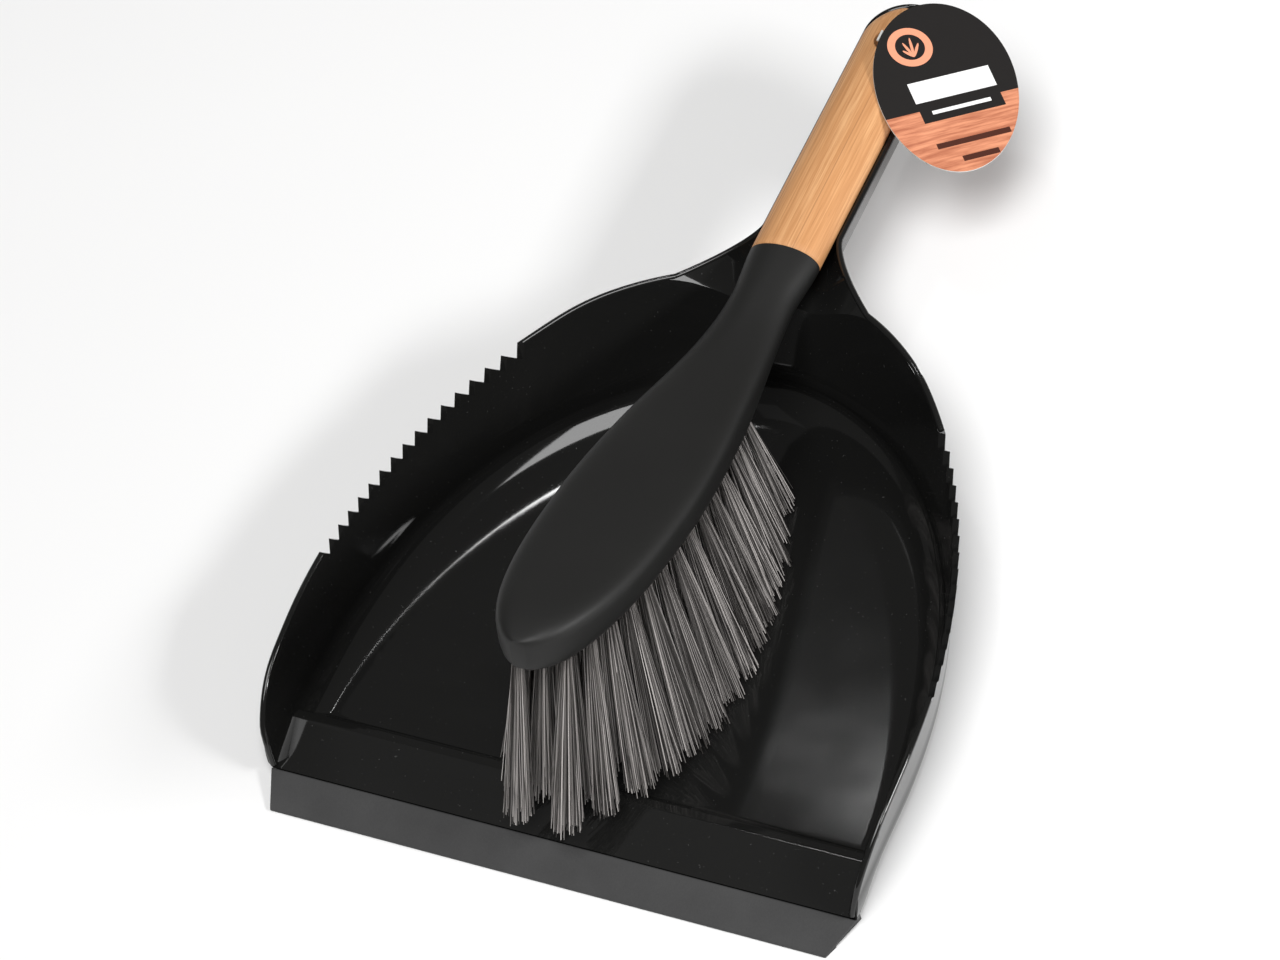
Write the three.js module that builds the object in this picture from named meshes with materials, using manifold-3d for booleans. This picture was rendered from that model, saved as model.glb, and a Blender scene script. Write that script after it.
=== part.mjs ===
// Dust pan with a toothed rim, and the hand brush that lies in its handle channel.
// Millimetres. X is across the pan, Y runs from the sweeping edge to the hanging end, Z is up.
// Everything is laid out with Y = 0 at the sweeping edge; the last group moves the origin
// to the middle of the footprint, on the floor.

import * as THREE from 'three';
import { mergeVertices } from 'three/addons/utils/BufferGeometryUtils.js';
import Module from 'manifold-3d';

const wasm = await Module();
wasm.setup();

// ---------------------------------------------------------------- driving dimensions

// pan, overall
const lipWidth = 220;            // sweeping edge
const bodyWidth = 246;           // widest point between the wall tops, at full wall height
const bodyDepth = 240;           // sweeping edge to the back wall, at full wall height
const panLength = 380;           // sweeping edge to the end of the handle
const wallTop = 48.5;            // height of the rim along the back and the handle
const wall = 2.2;                // moulded wall

// pan, tray
const shoulderY = 57;            // where the straight sides start to curve in
const floorInset = 18;           // the flat floor ends this far inside the rim on each side
const floorSetback = 36.5;       // and this far in front of the back wall's top
const floorShoulderY = 45;
const sideFillet = 12;           // height of the round between floor and wall
const frontRound = 0.2;          // share of that round which is left beside the ramp
const frontRoundFrom = 20;       // and the full round comes in from here to floorShoulderY
const sideDraft = 0.225;         // how far the wall leans out for each mm of height
const roundSetback = 19;         // back wall's lean above the round, down to the round
const wallRound = [2.15, 1.9];   // outline powers at the rim: 2 and 2 is an ellipse
const floorRound = [1.7, 1.45];  // outline powers at the floor, more pointed

// pan, rim
const rimEndDrop = 44.5;         // how far the rim falls from the back to the front corner
const toothStartY = 87;
const toothEndY = 190;
const toothCount = 16;
const toothDepth = 4.4;
const toothInset = 0.4;          // tooth tips sit this far under the smooth rim
const beadOut = 1.1;             // rolled edge on the smooth rim
const beadHeight = 2.0;

// pan, ramp behind the sweeping edge
const lipDepth = 15;             // rubber strip, front to back
const lipTip = 0.9;              // its thickness at the sweeping edge
const lipSkin = 1.2;             // rubber on top of the moulded tongue
const lipHook = 5;               // solid rubber in front of the tongue
const rampStart = 3.9;           // ramp height where the rubber ends
const crestY = 34.5;
const crestHeight = 10;
const crestFlat = 3.6;           // nearly flat top behind the crest
const crestFall = 1.1;           // how far it falls over that
const rampFoot = 8;              // crest to the foot of the step down
const lipFlare = 6;              // the strip grows this much on each side towards the back

// pan, handle channel
const channelWidth = 32.4;       // outside, at the rim
const channelDepth = 8.9;        // rim to the channel floor
const channelTaper = 2.4;        // narrower at the bottom, on each side
const neckInside = 26;           // the neck starts this far in front of the back wall's top
const neckLength = 49;
const neckFlare = 44.5;          // it opens this much on each side towards the tray
const neckFloorFlare = 10;       // the same, at the channel floor
const neckCurve = 1.4;           // 1 is a straight funnel, more is a trumpet

// brush
const ferruleY = 247;            // where the bamboo meets the moulded head
const handleAxisZ = 50.5;        // height of the handle's axis in the channel
const bambooLength = 123;
const bambooWidth = 28;
const bambooThickness = 18;
const bambooEndRound = 14;       // length of its rounded end
const bambooEndShare = 0.55;     // thickness left at the very end, as a share
const hangHoleRadius = 5;
const hangHoleFromEnd = 19;
const headLength = 218;          // ferrule to the front tip, along the curved axis
const headWidth = 50;
const headPitch = 14.2;          // degrees that the head rises towards the front
const bendStart = 25;            // along the axis from the ferrule
const bendEnd = 75;
const neckWidth = 24.5;
const widest = 136;              // along the axis
const headBack = 10.5;           // axis to the block's underside, under the bristled head
const tipRound = 24;             // length over which the top falls to the front tip
const noseRound = 13;            // the same, for the underside
const noseShare = 0.5;           // depth left at the very tip, as a share
const coverSkin = 1.8;           // soft cover over the block
const blockOpenStart = 50;       // the block's underside is bare from here to the tip
const tenonRadius = 6.5;
const tenonLength = 28;

// screw that holds the tenon
const screwFromFerrule = 15;
const screwShankRadius = 1.4;
const screwHeadRadius = 3;
const screwHeadHeight = 1.8;
const screwLength = 13;
const screwPoint = 2;
const screwHeadRim = 0.5;

// tufts
const tuftsInOuterRow = 14;
const tuftsInInnerRow = 12;
const tuftRootRadius = 2.1;
const tuftFromEdge = 2.6;        // outer rows, from the inside of the cover
const bristleLength = 67;
const tuftSpread = 2.1;          // how much thicker a tuft is at its tip than at its root
const innerRow = 0.36;           // inner rows, as a share of the outer rows' distance
const tuftFirst = 62;            // along the axis, first station from the ferrule
const tuftLast = 203;
const frontSplay = 14.5;         // degrees that the front tufts lean forwards, past square
const backSplay = 5;             // and the back tufts
const sideSplay = 18.5;          // degrees that the outer rows lean outwards at the back
const frontSideSplay = 0;        // and at the front
const splayHold = 3;             // power that keeps both leans for most of the length

// tag
const tagLength = 75.5;
const tagWidth = 55;
const tagThickness = 0.6;
const tagSlope = 22;             // degrees down towards the right
const tagTurn = -60;             // long axis, degrees from across the pan, in the tag's plane
const tagBlunt = 0.03;           // how much fuller the upper end of the egg is
const tagCentre = 31.6;          // from the pin to the middle of the card, down the slope
const tagCentreY = 340;
const pinRadius = 0.5;           // nylon pin that holds the card
const pinX = -2;
const pinFromHole = -1;          // its stem stands this far behind the hole's centre
const pinTopZ = 61.5;
const pinBarLength = 17;         // bar under the bamboo, longer than the hole is wide
const pinPaddleLength = 5;

// clearances
const seam = 0.3;                // between pieces that touch
const channelPlay = 1.9;         // under the bamboo
const tenonPlay = 0.3;
const screwPlay = 0.35;
const floorPlay = 1.2;           // between the tuft tips and the pan
const trimStep = 0.5;            // tufts are shortened in steps of this until they clear it

// ---------------------------------------------------------------- colours

const finish = (color, roughness, metalness = 0) =>
  new THREE.MeshStandardMaterial({ color, roughness, metalness });
const colours = {
  gloss: () => finish(0x0b0b0c, 0.15),
  rubber: () => finish(0x3c3c3d, 0.75),
  soft: () => finish(0x141415, 0.6),
  block: () => finish(0x1a1a1b, 0.5),
  bamboo: () => finish(0xc99a62, 0.5),
  bristle: () => finish(0x8b8884, 0.6),
  steel: () => finish(0x9a9da0, 0.35, 1),
  card: () => finish(0x1c1a19, 0.5),
  nylon: () => finish(0xd8d8d6, 0.4),
};

// ---------------------------------------------------------------- solids

const radians = THREE.MathUtils.degToRad;
const lerp = THREE.MathUtils.lerp;
const smooth = THREE.MathUtils.smoothstep;

function asSolid(geometry) {
  const bare = geometry.clone();
  bare.deleteAttribute('normal');
  bare.deleteAttribute('uv');
  const merged = mergeVertices(bare.index ? bare.toNonIndexed() : bare, 1e-4);
  return new wasm.Manifold(new wasm.Mesh({
    numProp: 3,
    vertProperties: new Float32Array(merged.attributes.position.array),
    triVerts: new Uint32Array(merged.index.array),
  }));
}

function asGeometry(solid) {
  const mesh = solid.getMesh();
  const points = [];
  for (let i = 0; i < mesh.vertProperties.length; i += mesh.numProp) {
    points.push(...mesh.vertProperties.slice(i, i + 3));
  }
  const geometry = new THREE.BufferGeometry();
  geometry.setAttribute('position', new THREE.Float32BufferAttribute(points, 3));
  geometry.setIndex([...mesh.triVerts]);
  return geometry;
}

// A closed skin over rings of the same number of points, each ring a list of Vector3.
function skin(rings, { capPoints = null } = {}) {
  const n = rings[0].length;
  const points = rings.flat();
  const faces = [];
  for (let r = 0; r < rings.length - 1; r += 1) {
    const a = r * n;
    const b = a + n;
    for (let i = 0; i < n; i += 1) {
      const j = (i + 1) % n;
      faces.push(a + i, a + j, b + j, a + i, b + j, b + i);
    }
  }
  const flat = capPoints ?? rings[0].map((p) => new THREE.Vector2(p.x, p.y));
  const end = (rings.length - 1) * n;
  for (const [i, j, k] of THREE.ShapeUtils.triangulateShape(flat, [])) {
    faces.push(k, j, i, end + i, end + j, end + k);
  }
  const geometry = new THREE.BufferGeometry();
  const numbers = points.flatMap((p) => [p.x, p.y, p.z]);
  geometry.setAttribute('position', new THREE.Float32BufferAttribute(numbers, 3));
  geometry.setIndex(faces);
  const solid = asSolid(geometry);
  if (solid.volume() >= 0) return solid;
  geometry.setIndex(faces.map((_, i) => faces[i - (i % 3) + 2 - (i % 3)]));
  return asSolid(geometry);
}

// A side view (points in Y and Z) carried across the pan from -half to +half.
function acrossPan(sideView, half) {
  const shape = new THREE.Shape(sideView.map(([y, z]) => new THREE.Vector2(y, z)));
  const geometry = new THREE.ExtrudeGeometry(shape, { depth: 2 * half, bevelEnabled: false });
  geometry.applyMatrix4(new THREE.Matrix4().makeBasis(
    new THREE.Vector3(0, 1, 0), new THREE.Vector3(0, 0, 1), new THREE.Vector3(1, 0, 0)));
  geometry.translate(-half, 0, 0);
  return asSolid(geometry);
}

function upright(radius, y, z0, z1, x = 0, sides = 24) {
  const geometry = new THREE.CylinderGeometry(radius, radius, z1 - z0, sides);
  geometry.rotateX(Math.PI / 2);
  geometry.translate(x, y, (z0 + z1) / 2);
  return asSolid(geometry);
}

// ---------------------------------------------------------------- pan outlines

const far = 20;                  // how far a cut runs past the material
const arcSteps = 22;
const frontSteps = 7;
const neckSteps = 10;
const floorWidth = bodyWidth - 2 * floorInset;
const floorDepth = bodyDepth - floorSetback;
const neckStartY = bodyDepth - neckInside;
const aboveRim = wallTop + 6;    // the tray is lofted to here and trimmed to the rim

// Half of a tray outline: straight sides from the front, then a rounded back.
function trayOutline({ half, depth, shoulder, powers, front, flare }) {
  const right = [];
  for (let i = 0; i <= frontSteps; i += 1) {
    const y = lerp(front, shoulder, i / frontSteps);
    right.push([half + flare * (1 - smooth(y, frontRoundFrom, floorShoulderY)), y]);
  }
  for (let i = 1; i <= arcSteps; i += 1) {
    const turn = (Math.PI / 2) * (i / arcSteps);
    right.push([
      half * Math.cos(turn) ** (2 / powers[1]),
      shoulder + (depth - shoulder) * Math.sin(turn) ** (2 / powers[0]),
    ]);
  }
  right[right.length - 1][0] = 0;
  return right;
}

function grow(half, distance) {
  return half.map(([x, y], i) => {
    if (i === half.length - 1) return [0, y + distance];
    const before = half[Math.max(i - 1, 0)];
    const after = half[i + 1];
    const along = new THREE.Vector2(after[0] - before[0], after[1] - before[1]).normalize();
    return [x + along.y * distance, y - along.x * distance];
  });
}

function bothSides(half, z) {
  const right = half.map(([x, y]) => new THREE.Vector3(x, y, z));
  const left = half.slice(0, -1).reverse().map(([x, y]) => new THREE.Vector3(-x, y, z));
  return [...right, ...left];
}

// One level of the tray: t from 0 at the flat floor to 1 at the top of the round.
const filletTop = wall + sideFillet;
function trayLevel(t, z, front) {
  const shape = t < 1 ? Math.sin((Math.PI / 2) * t) : 1;
  const halfAbove = bodyWidth / 2 - (wallTop - z) * sideDraft;
  const halfRound = bodyWidth / 2 - (wallTop - filletTop) * sideDraft;
  const half = t < 1 ? lerp(floorWidth / 2, halfRound, shape) : halfAbove;
  const backRound = bodyDepth - roundSetback;
  const backLean = roundSetback / (wallTop - filletTop);
  const backAbove = backRound + (z - filletTop) * backLean;
  return trayOutline({
    half,
    flare: t < 1 ? (halfRound - half) * (1 - frontRound) : 0,
    depth: t < 1 ? lerp(floorDepth, backRound, shape) : backAbove,
    shoulder: t < 1 ? lerp(floorShoulderY, shoulderY, shape) : shoulderY,
    powers: t < 1
      ? floorRound.map((p, i) => lerp(p, wallRound[i], shape))
      : wallRound,
    front,
  });
}

const roundSteps = 5;
const wallSteps = 3;
function trayRings({ skinOut, front, top }) {
  const rings = [];
  for (let i = 0; i <= roundSteps; i += 1) {
    const t = i / roundSteps;
    const turn = (Math.PI / 2) * t;
    const z = wall + sideFillet * (1 - Math.cos(turn));
    const level = trayLevel(t, z, front);
    rings.push(bothSides(grow(level, skinOut * Math.sin(turn)), z - skinOut * Math.cos(turn)));
  }
  for (let i = 1; i <= wallSteps; i += 1) {
    const z = lerp(filletTop, top, i / wallSteps);
    rings.push(bothSides(grow(trayLevel(1, z, front), skinOut), z));
  }
  return rings;
}

// Neck and handle channel in plan: a flare that narrows to a straight channel with a round end.
function channelOutline(inset, flare) {
  const half = channelWidth / 2 - inset;
  const endCentre = panLength - beadOut - channelWidth / 2;
  const outline = [[half + flare, neckStartY - seam]];
  for (let i = 0; i <= neckSteps; i += 1) {
    const t = i / neckSteps;
    outline.push([half + flare * (1 - t) ** neckCurve, neckStartY + neckLength * t]);
  }
  for (let i = 0; i <= neckSteps; i += 1) {
    const turn = (Math.PI / 2) * (i / neckSteps);
    outline.push([half * Math.cos(turn), endCentre + half * Math.sin(turn)]);
  }
  outline[outline.length - 1][0] = 0;
  return outline;
}

function channelSolid(inset, z0, z1) {
  return skin([
    bothSides(channelOutline(inset + channelTaper, neckFloorFlare), z0),
    bothSides(channelOutline(inset, neckFlare), wallTop),
    bothSides(channelOutline(inset, neckFlare), z1),
  ]);
}

// ---------------------------------------------------------------- rim line

const rimFront = lipDepth;
const rimPoints = [
  [rimFront - 0.5, wallTop - rimEndDrop],
  [rimFront + 3, wallTop - rimEndDrop * 0.78],
  [rimFront + 8, wallTop - rimEndDrop * 0.6],
  [rimFront + 22, wallTop - rimEndDrop * 0.4],
  [shoulderY, wallTop - rimEndDrop * 0.305],
  [toothStartY, wallTop - rimEndDrop * 0.23],
  [lerp(toothStartY, toothEndY, 0.5), wallTop - rimEndDrop * 0.16],
  [toothEndY, wallTop - rimEndDrop * 0.07],
  [toothEndY + 26, wallTop],
  [bodyDepth + 10, wallTop],
];
const rimCurve = new THREE.SplineCurve(rimPoints.map(([y, z]) => new THREE.Vector2(y, z)));
const rimLine = rimCurve.getPoints(54);

function rimHeight(y) {
  const after = rimLine.findIndex((p) => p.x >= y);
  if (after < 0) return wallTop;
  if (after === 0) return rimLine[0].y;
  const a = rimLine[after - 1];
  const b = rimLine[after];
  return lerp(a.y, b.y, (y - a.x) / (b.x - a.x));
}

const toothPitch = (toothEndY - toothStartY) / toothCount;

// Everything above the rim, lowered by drop. The toothed stretch is a row of V notches.
function aboveRimCut(drop, toothed) {
  const side = rimLine.map((p) => [p.x, p.y - drop]);
  const before = side.filter(([y]) => y < toothStartY - 0.5);
  const after = side.filter(([y]) => y > toothEndY + 0.5);
  const teeth = [];
  if (toothed) {
    teeth.push([toothStartY, rimHeight(toothStartY) - drop]);
    for (let i = 0; i < toothCount; i += 1) {
      const y = toothStartY + toothPitch * (i + 0.5);
      teeth.push([y, rimHeight(y) - drop - toothInset - toothDepth]);
      if (i === toothCount - 1) break;
      const tip = y + toothPitch / 2;
      teeth.push([tip, rimHeight(tip) - drop - toothInset]);
    }
    teeth.push([toothEndY, rimHeight(toothEndY) - drop]);
  } else {
    for (const y of [toothStartY, toothEndY]) teeth.push([y, rimHeight(y) - drop]);
  }
  const line = [...before, ...teeth, ...after];
  const top = aboveRim + far;
  return acrossPan([
    [-far, line[0][1]], ...line, [panLength + far, wallTop - drop],
    [panLength + far, top], [-far, top],
  ], bodyWidth);
}

// ---------------------------------------------------------------- pan pieces

const crest = { y: crestY, z: crestHeight };
const tongueTop = rampStart - lipSkin - seam;
const tongueFront = lipHook + seam;

function rampProfile() {
  const footY = crest.y + rampFoot;
  return [
    [tongueFront, 0], [tongueFront, lipTip - 0.45],
    [lipDepth + seam, tongueTop], [lipDepth + seam, rampStart],
    [crest.y - 2, crest.z - 0.4], [crest.y - 0.5, crest.z], [crest.y + crestFlat, crest.z - crestFall],
    [footY - 1, wall + 0.7], [footY + 1, wall], [footY + 4, wall], [footY + 4, 0],
    [footY - 2, 0], [lipDepth + 2, 0],
  ];
}

function rampHollow() {
  const footY = crest.y + rampFoot;
  return acrossPan(
    [
      [lipDepth + 2, 0], [crest.y - 0.8, crest.z - wall - 0.4], [footY - 2, 0],
      [footY - 2, -1], [lipDepth + 2, -1],
    ],
    floorWidth / 2 + 2);
}

// Plan of the front strip and tongue: a little wider at the back than at the sweeping edge.
function frontPlan(halfFront, halfBack, y0, y1, z1) {
  const shape = new THREE.Shape([
    new THREE.Vector2(-halfFront, y0), new THREE.Vector2(halfFront, y0),
    new THREE.Vector2(halfBack, y1), new THREE.Vector2(-halfBack, y1),
  ]);
  const geometry = new THREE.ExtrudeGeometry(shape, { depth: z1 + 1, bevelEnabled: false });
  geometry.translate(0, 0, -1);
  return asSolid(geometry);
}

const channelFloorZ = wallTop - channelDepth;

function buildPanShell() {
  const tray = skin(trayRings({ skinOut: wall, front: lipDepth + seam, top: aboveRim }));
  const beadSkin = skin(trayRings({ skinOut: wall + beadOut, front: lipDepth + seam, top: aboveRim }));
  const hollow = skin(trayRings({ skinOut: 0, front: -far, top: aboveRim + 1 }));
  const channel = channelSolid(0, channelFloorZ - wall, aboveRim);
  const channelBead = channelSolid(-beadOut, channelFloorZ - wall, aboveRim);
  const channelHollow = channelSolid(wall, channelFloorZ, aboveRim + 1);
  const ramp = acrossPan(rampProfile(), bodyWidth / 2);
  const halfBack = lipWidth / 2 + lipFlare;
  const tongue = frontPlan(lipWidth / 2 - seam, halfBack, 0, lipDepth + 3, crest.z);
  const rampPlan = tray.add(tongue);
  const inside = hollow.add(channelHollow);

  const smoothBand = aboveRimCut(beadHeight, false)
    .subtract(acrossPan([
      [toothStartY, 0], [toothEndY, 0], [toothEndY, aboveRim + far], [toothStartY, aboveRim + far],
    ], bodyWidth));
  const rolledEdge = beadSkin.add(channelBead).intersect(smoothBand);

  const outside = tray.add(channel).add(rolledEdge);
  return outside.subtract(inside)
    .add(ramp.intersect(rampPlan))
    .subtract(rampHollow())
    .subtract(aboveRimCut(0, true))
    .subtract(upright(hangHoleRadius, hangHoleY, channelFloorZ - far, channelFloorZ + 1));
}

function buildLip() {
  const profile = [
    [0, 0], [0, lipTip], [lipDepth, rampStart], [lipDepth, rampStart - lipSkin],
    [lipHook, lipTip - 0.1], [lipHook, 0],
  ];
  const strip = acrossPan(profile, bodyWidth / 2);
  return strip.intersect(frontPlan(lipWidth / 2, lipWidth / 2 + lipFlare, 0, lipDepth, crest.z));
}

// ---------------------------------------------------------------- brush axis and sections

const hangHoleY = ferruleY + bambooLength - hangHoleFromEnd;
const axisSteps = 240;
const axis = (() => {
  const points = [{ s: 0, y: ferruleY, z: handleAxisZ, pitch: 0 }];
  for (let i = 1; i <= axisSteps; i += 1) {
    const before = points[i - 1];
    const s = (headLength * i) / axisSteps;
    const pitch = radians(headPitch) * THREE.MathUtils.clamp((s - bendStart) / (bendEnd - bendStart), 0, 1);
    const step = headLength / axisSteps;
    const middle = (pitch + before.pitch) / 2;
    points.push({ s, y: before.y - step * Math.cos(middle), z: before.z + step * Math.sin(middle), pitch });
  }
  return points;
})();

function axisAt(s) {
  const i = THREE.MathUtils.clamp((s / headLength) * axisSteps, 0, axisSteps - 1e-6);
  const a = axis[Math.floor(i)];
  const b = axis[Math.floor(i) + 1];
  const t = i - Math.floor(i);
  return { y: lerp(a.y, b.y, t), z: lerp(a.z, b.z, t), pitch: lerp(a.pitch, b.pitch, t) };
}

function headHalfWidth(s) {
  if (s < 0) return bambooWidth / 2;
  const neck = lerp(bambooWidth, neckWidth, smooth(s, 0, 22)) / 2;
  const swell = lerp(neck, headWidth / 2, smooth(s, 18, widest) ** 0.85);
  if (s <= widest) return swell;
  const t = (s - widest) / (headLength - widest);
  return (headWidth / 2) * Math.sqrt(Math.max(0, 1 - t ** 2.6));
}
const headUp = (s) => {
  const t = THREE.MathUtils.clamp((s - (headLength - tipRound)) / tipRound, 0, 1);
  return (bambooThickness / 2) * (0.5 + 0.5 * Math.sqrt(1 - t * t));
};
const headDown = (s) => {
  const t = THREE.MathUtils.clamp((s - (headLength - noseRound)) / noseRound, 0, 1);
  const nose = lerp(noseShare, 1, Math.sqrt(1 - t * t));
  return lerp(bambooThickness / 2, headBack, smooth(s, bendStart, bendEnd)) * nose;
};
const corner = (s) => lerp(2, 3.6, smooth(s, 30, 95));

const around = 28;
function headRing(s, { inset = 0, openBelow = 0 } = {}) {
  const at = axisAt(s);
  const half = Math.max(headHalfWidth(s) - inset, 0.4);
  const up = headUp(s) - inset;
  const bare = smooth(s, blockOpenStart - 4, blockOpenStart);
  const down = headDown(s) - inset * (1 - bare) + openBelow * bare;
  const power = 2 / corner(s);
  const ring = [];
  for (let i = 0; i < around; i += 1) {
    const turn = (2 * Math.PI * i) / around;
    const c = Math.cos(turn);
    const v = Math.sin(turn);
    const x = half * Math.sign(c) * Math.abs(c) ** power;
    const h = (v >= 0 ? up : down) * Math.sign(v) * Math.abs(v) ** power;
    ring.push(new THREE.Vector3(x, at.y + h * Math.sin(at.pitch), at.z + h * Math.cos(at.pitch)));
  }
  return ring;
}

const ringCap = headRing(0).map((p) => new THREE.Vector2(p.x, p.z));
function headLoft(from, to, options) {
  const count = Math.ceil((to - from) / 9);
  const stations = [];
  for (let i = 0; i <= count; i += 1) stations.push(lerp(from, to, i / count));
  for (const near of [6, 3, 1.2]) stations.push(to - near);
  stations.sort((a, b) => a - b);
  return skin(stations.map((s) => headRing(s, options)), { capPoints: ringCap });
}

const tipEnd = headLength - 0.8;
const blockInset = coverSkin + seam;
const blockTo = tipEnd - blockInset;
const screwY = ferruleY - screwFromFerrule;
const neckBottom = handleAxisZ - bambooThickness / 2;

function tenonSolid(radius, length) {
  const geometry = new THREE.CylinderGeometry(radius, radius, length, 24);
  geometry.translate(0, ferruleY - length / 2 + 2 * seam, handleAxisZ);
  return asSolid(geometry);
}

function buildBlock() {
  return headLoft(blockInset, blockTo, { inset: blockInset })
    .subtract(tenonSolid(tenonRadius + tenonPlay, tenonLength + 1.5))
    .subtract(upright(screwShankRadius + screwPlay, screwY, neckBottom - 1, handleAxisZ));
}

function buildCover() {
  const cavity = headLoft(coverSkin, tipEnd - coverSkin, { inset: coverSkin, openBelow: 6 });
  return headLoft(0, tipEnd, {})
    .subtract(cavity)
    .subtract(tenonSolid(tenonRadius + tenonPlay, tenonLength))
    .subtract(upright(screwHeadRadius + screwPlay, screwY, neckBottom - 4, neckBottom + coverSkin + seam));
}

const endSteps = 7;
const bambooSides = 32;
function buildBamboo() {
  const rings = [];
  const straight = bambooLength - bambooEndRound;
  const stations = [seam];
  for (let i = 1; i <= 5; i += 1) stations.push(straight * (i / 5));
  for (let i = 1; i <= endSteps; i += 1) {
    stations.push(straight + bambooEndRound * Math.sin((Math.PI / 2) * (i / (endSteps + 0.15))));
  }
  for (const s of stations) {
    const t = Math.max(0, (s - straight) / bambooEndRound);
    const half = (bambooWidth / 2) * Math.sqrt(Math.max(0.01, 1 - t * t));
    const up = (bambooThickness / 2) * lerp(bambooEndShare, 1, Math.sqrt(1 - t * t));
    rings.push(Array.from({ length: bambooSides }, (_, i) => {
      const turn = (2 * Math.PI * i) / bambooSides;
      return new THREE.Vector3(half * Math.cos(turn), ferruleY + s, handleAxisZ + up * Math.sin(turn));
    }));
  }
  const cap = rings[0].map((p) => new THREE.Vector2(p.x, p.z));
  return skin(rings, { capPoints: cap })
    .add(tenonSolid(tenonRadius, tenonLength))
    .subtract(upright(hangHoleRadius, hangHoleY, 0, handleAxisZ + bambooThickness))
    .subtract(upright(screwShankRadius + screwPlay, screwY, 0, neckBottom + coverSkin + screwLength));
}

function buildScrew() {
  const headBottom = neckBottom + screwPlay;
  const seat = headBottom + screwHeadHeight;
  const profile = [
    [0, headBottom], [screwHeadRadius, headBottom], [screwHeadRadius, headBottom + screwHeadRim],
    [screwShankRadius, seat], [screwShankRadius, headBottom + screwLength - screwPoint],
    [0, headBottom + screwLength],
  ];
  const geometry = new THREE.LatheGeometry(profile.map(([r, z]) => new THREE.Vector2(r, z)), 20);
  geometry.rotateX(Math.PI / 2);
  return asSolid(geometry).translate([0, screwY, 0]);
}

// ---------------------------------------------------------------- tufts

function tuftRows() {
  const rows = [];
  const across = [-1, -innerRow, innerRow, 1];
  for (const [row, side] of across.entries()) {
    const outer = Math.abs(side) === 1;
    const count = outer ? tuftsInOuterRow : tuftsInInnerRow;
    for (let i = 0; i < count; i += 1) {
      const t = outer ? i / (count - 1) : (i + 1) / (count + 1);
      rows.push({ row: row + 1, number: i + 1, side, t });
    }
  }
  return rows;
}

function tuftPlace({ side, t }) {
  const s = lerp(tuftFirst, tuftLast, t);
  const at = axisAt(s);
  const edge = headHalfWidth(s) - coverSkin - tuftRootRadius - tuftFromEdge;
  const narrowing = smooth(t, 0, 0.16);
  const x = side * Math.max(edge, tuftRootRadius + 0.6) * lerp(0.62, 1, narrowing);
  const drop = headDown(s) + seam;
  const root = new THREE.Vector3(x, at.y - drop * Math.sin(at.pitch), at.z - drop * Math.cos(at.pitch));
  const lean = at.pitch + radians(backSplay * (1 - t) + frontSplay * t ** splayHold);
  const out = radians(lerp(sideSplay, frontSideSplay, t ** splayHold)) * side;
  const pointing = new THREE.Vector3(
    Math.sin(out), -Math.cos(out) * Math.sin(lean), -Math.cos(out) * Math.cos(lean));
  const underside = new THREE.Vector3(0, Math.cos(at.pitch), -Math.sin(at.pitch));
  let length = bristleLength;
  while (length > trimStep && !clearsPan(root, pointing, length)) length -= trimStep;
  return { root, pointing, underside, length };
}

// The pan's height under a point: the floor, and the ramp in front of it.
function groundHeight(y) {
  const back = crest.y + crestFlat;
  const foot = crest.y + rampFoot;
  if (y < 0 || y > foot) return wall;
  if (y > back) return lerp(crest.z, wall, (y - back) / (foot - back));
  return y > crest.y ? crest.z : lerp(rampStart, crest.z, smooth(y, lipDepth, crest.y));
}

function clearsPan(root, pointing, length) {
  const tip = root.clone().addScaledVector(pointing, length);
  const radius = tuftRootRadius * tuftSpread;
  const ground = Math.max(groundHeight(tip.y - radius), groundHeight(tip.y), groundHeight(tip.y + radius));
  return tip.z > ground + floorPlay + sideRise(tip, radius);
}

// How high the round and the wall rise at a tuft's outer edge, outside the flat floor.
function sideRise(tip, radius) {
  const across = (Math.abs(tip.x) + radius) / (floorWidth / 2);
  const along = Math.max(0, tip.y + radius - floorShoulderY) / (floorDepth - floorShoulderY);
  const share = (across ** floorRound[1] + along ** floorRound[0]) ** (1 / floorRound[1]);
  const outside = Math.max(0, share - 1) * floorWidth / 2;
  return Math.min(outside, sideFillet) + Math.max(0, outside - sideFillet) / sideDraft;
}

// The root lies flat against the underside of the block, and the trimmed tips lie level.
function buildTuft({ root, pointing, underside, length }) {
  const sides = 8;
  const tip = root.clone().addScaledVector(pointing, length);
  const across = new THREE.Vector3(1, 0, 0);
  const level = new THREE.Vector3(0, 1, 0);
  const turns = Array.from({ length: sides }, (_, i) => (2 * Math.PI * i) / sides);
  const ring = (centre, along, radius) => turns.map((turn) => centre.clone()
    .addScaledVector(along, radius * Math.cos(turn))
    .addScaledVector(across, radius * Math.sin(turn)));
  const cap = turns.map((turn) => new THREE.Vector2(Math.cos(turn), Math.sin(turn)));
  return skin([
    ring(root, underside, tuftRootRadius),
    ring(tip, level, tuftRootRadius * tuftSpread),
  ], { capPoints: cap });
}

// ---------------------------------------------------------------- tag

const tagPlaneZ = pinTopZ + pinRadius + seam + tagThickness / 2;

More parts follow.
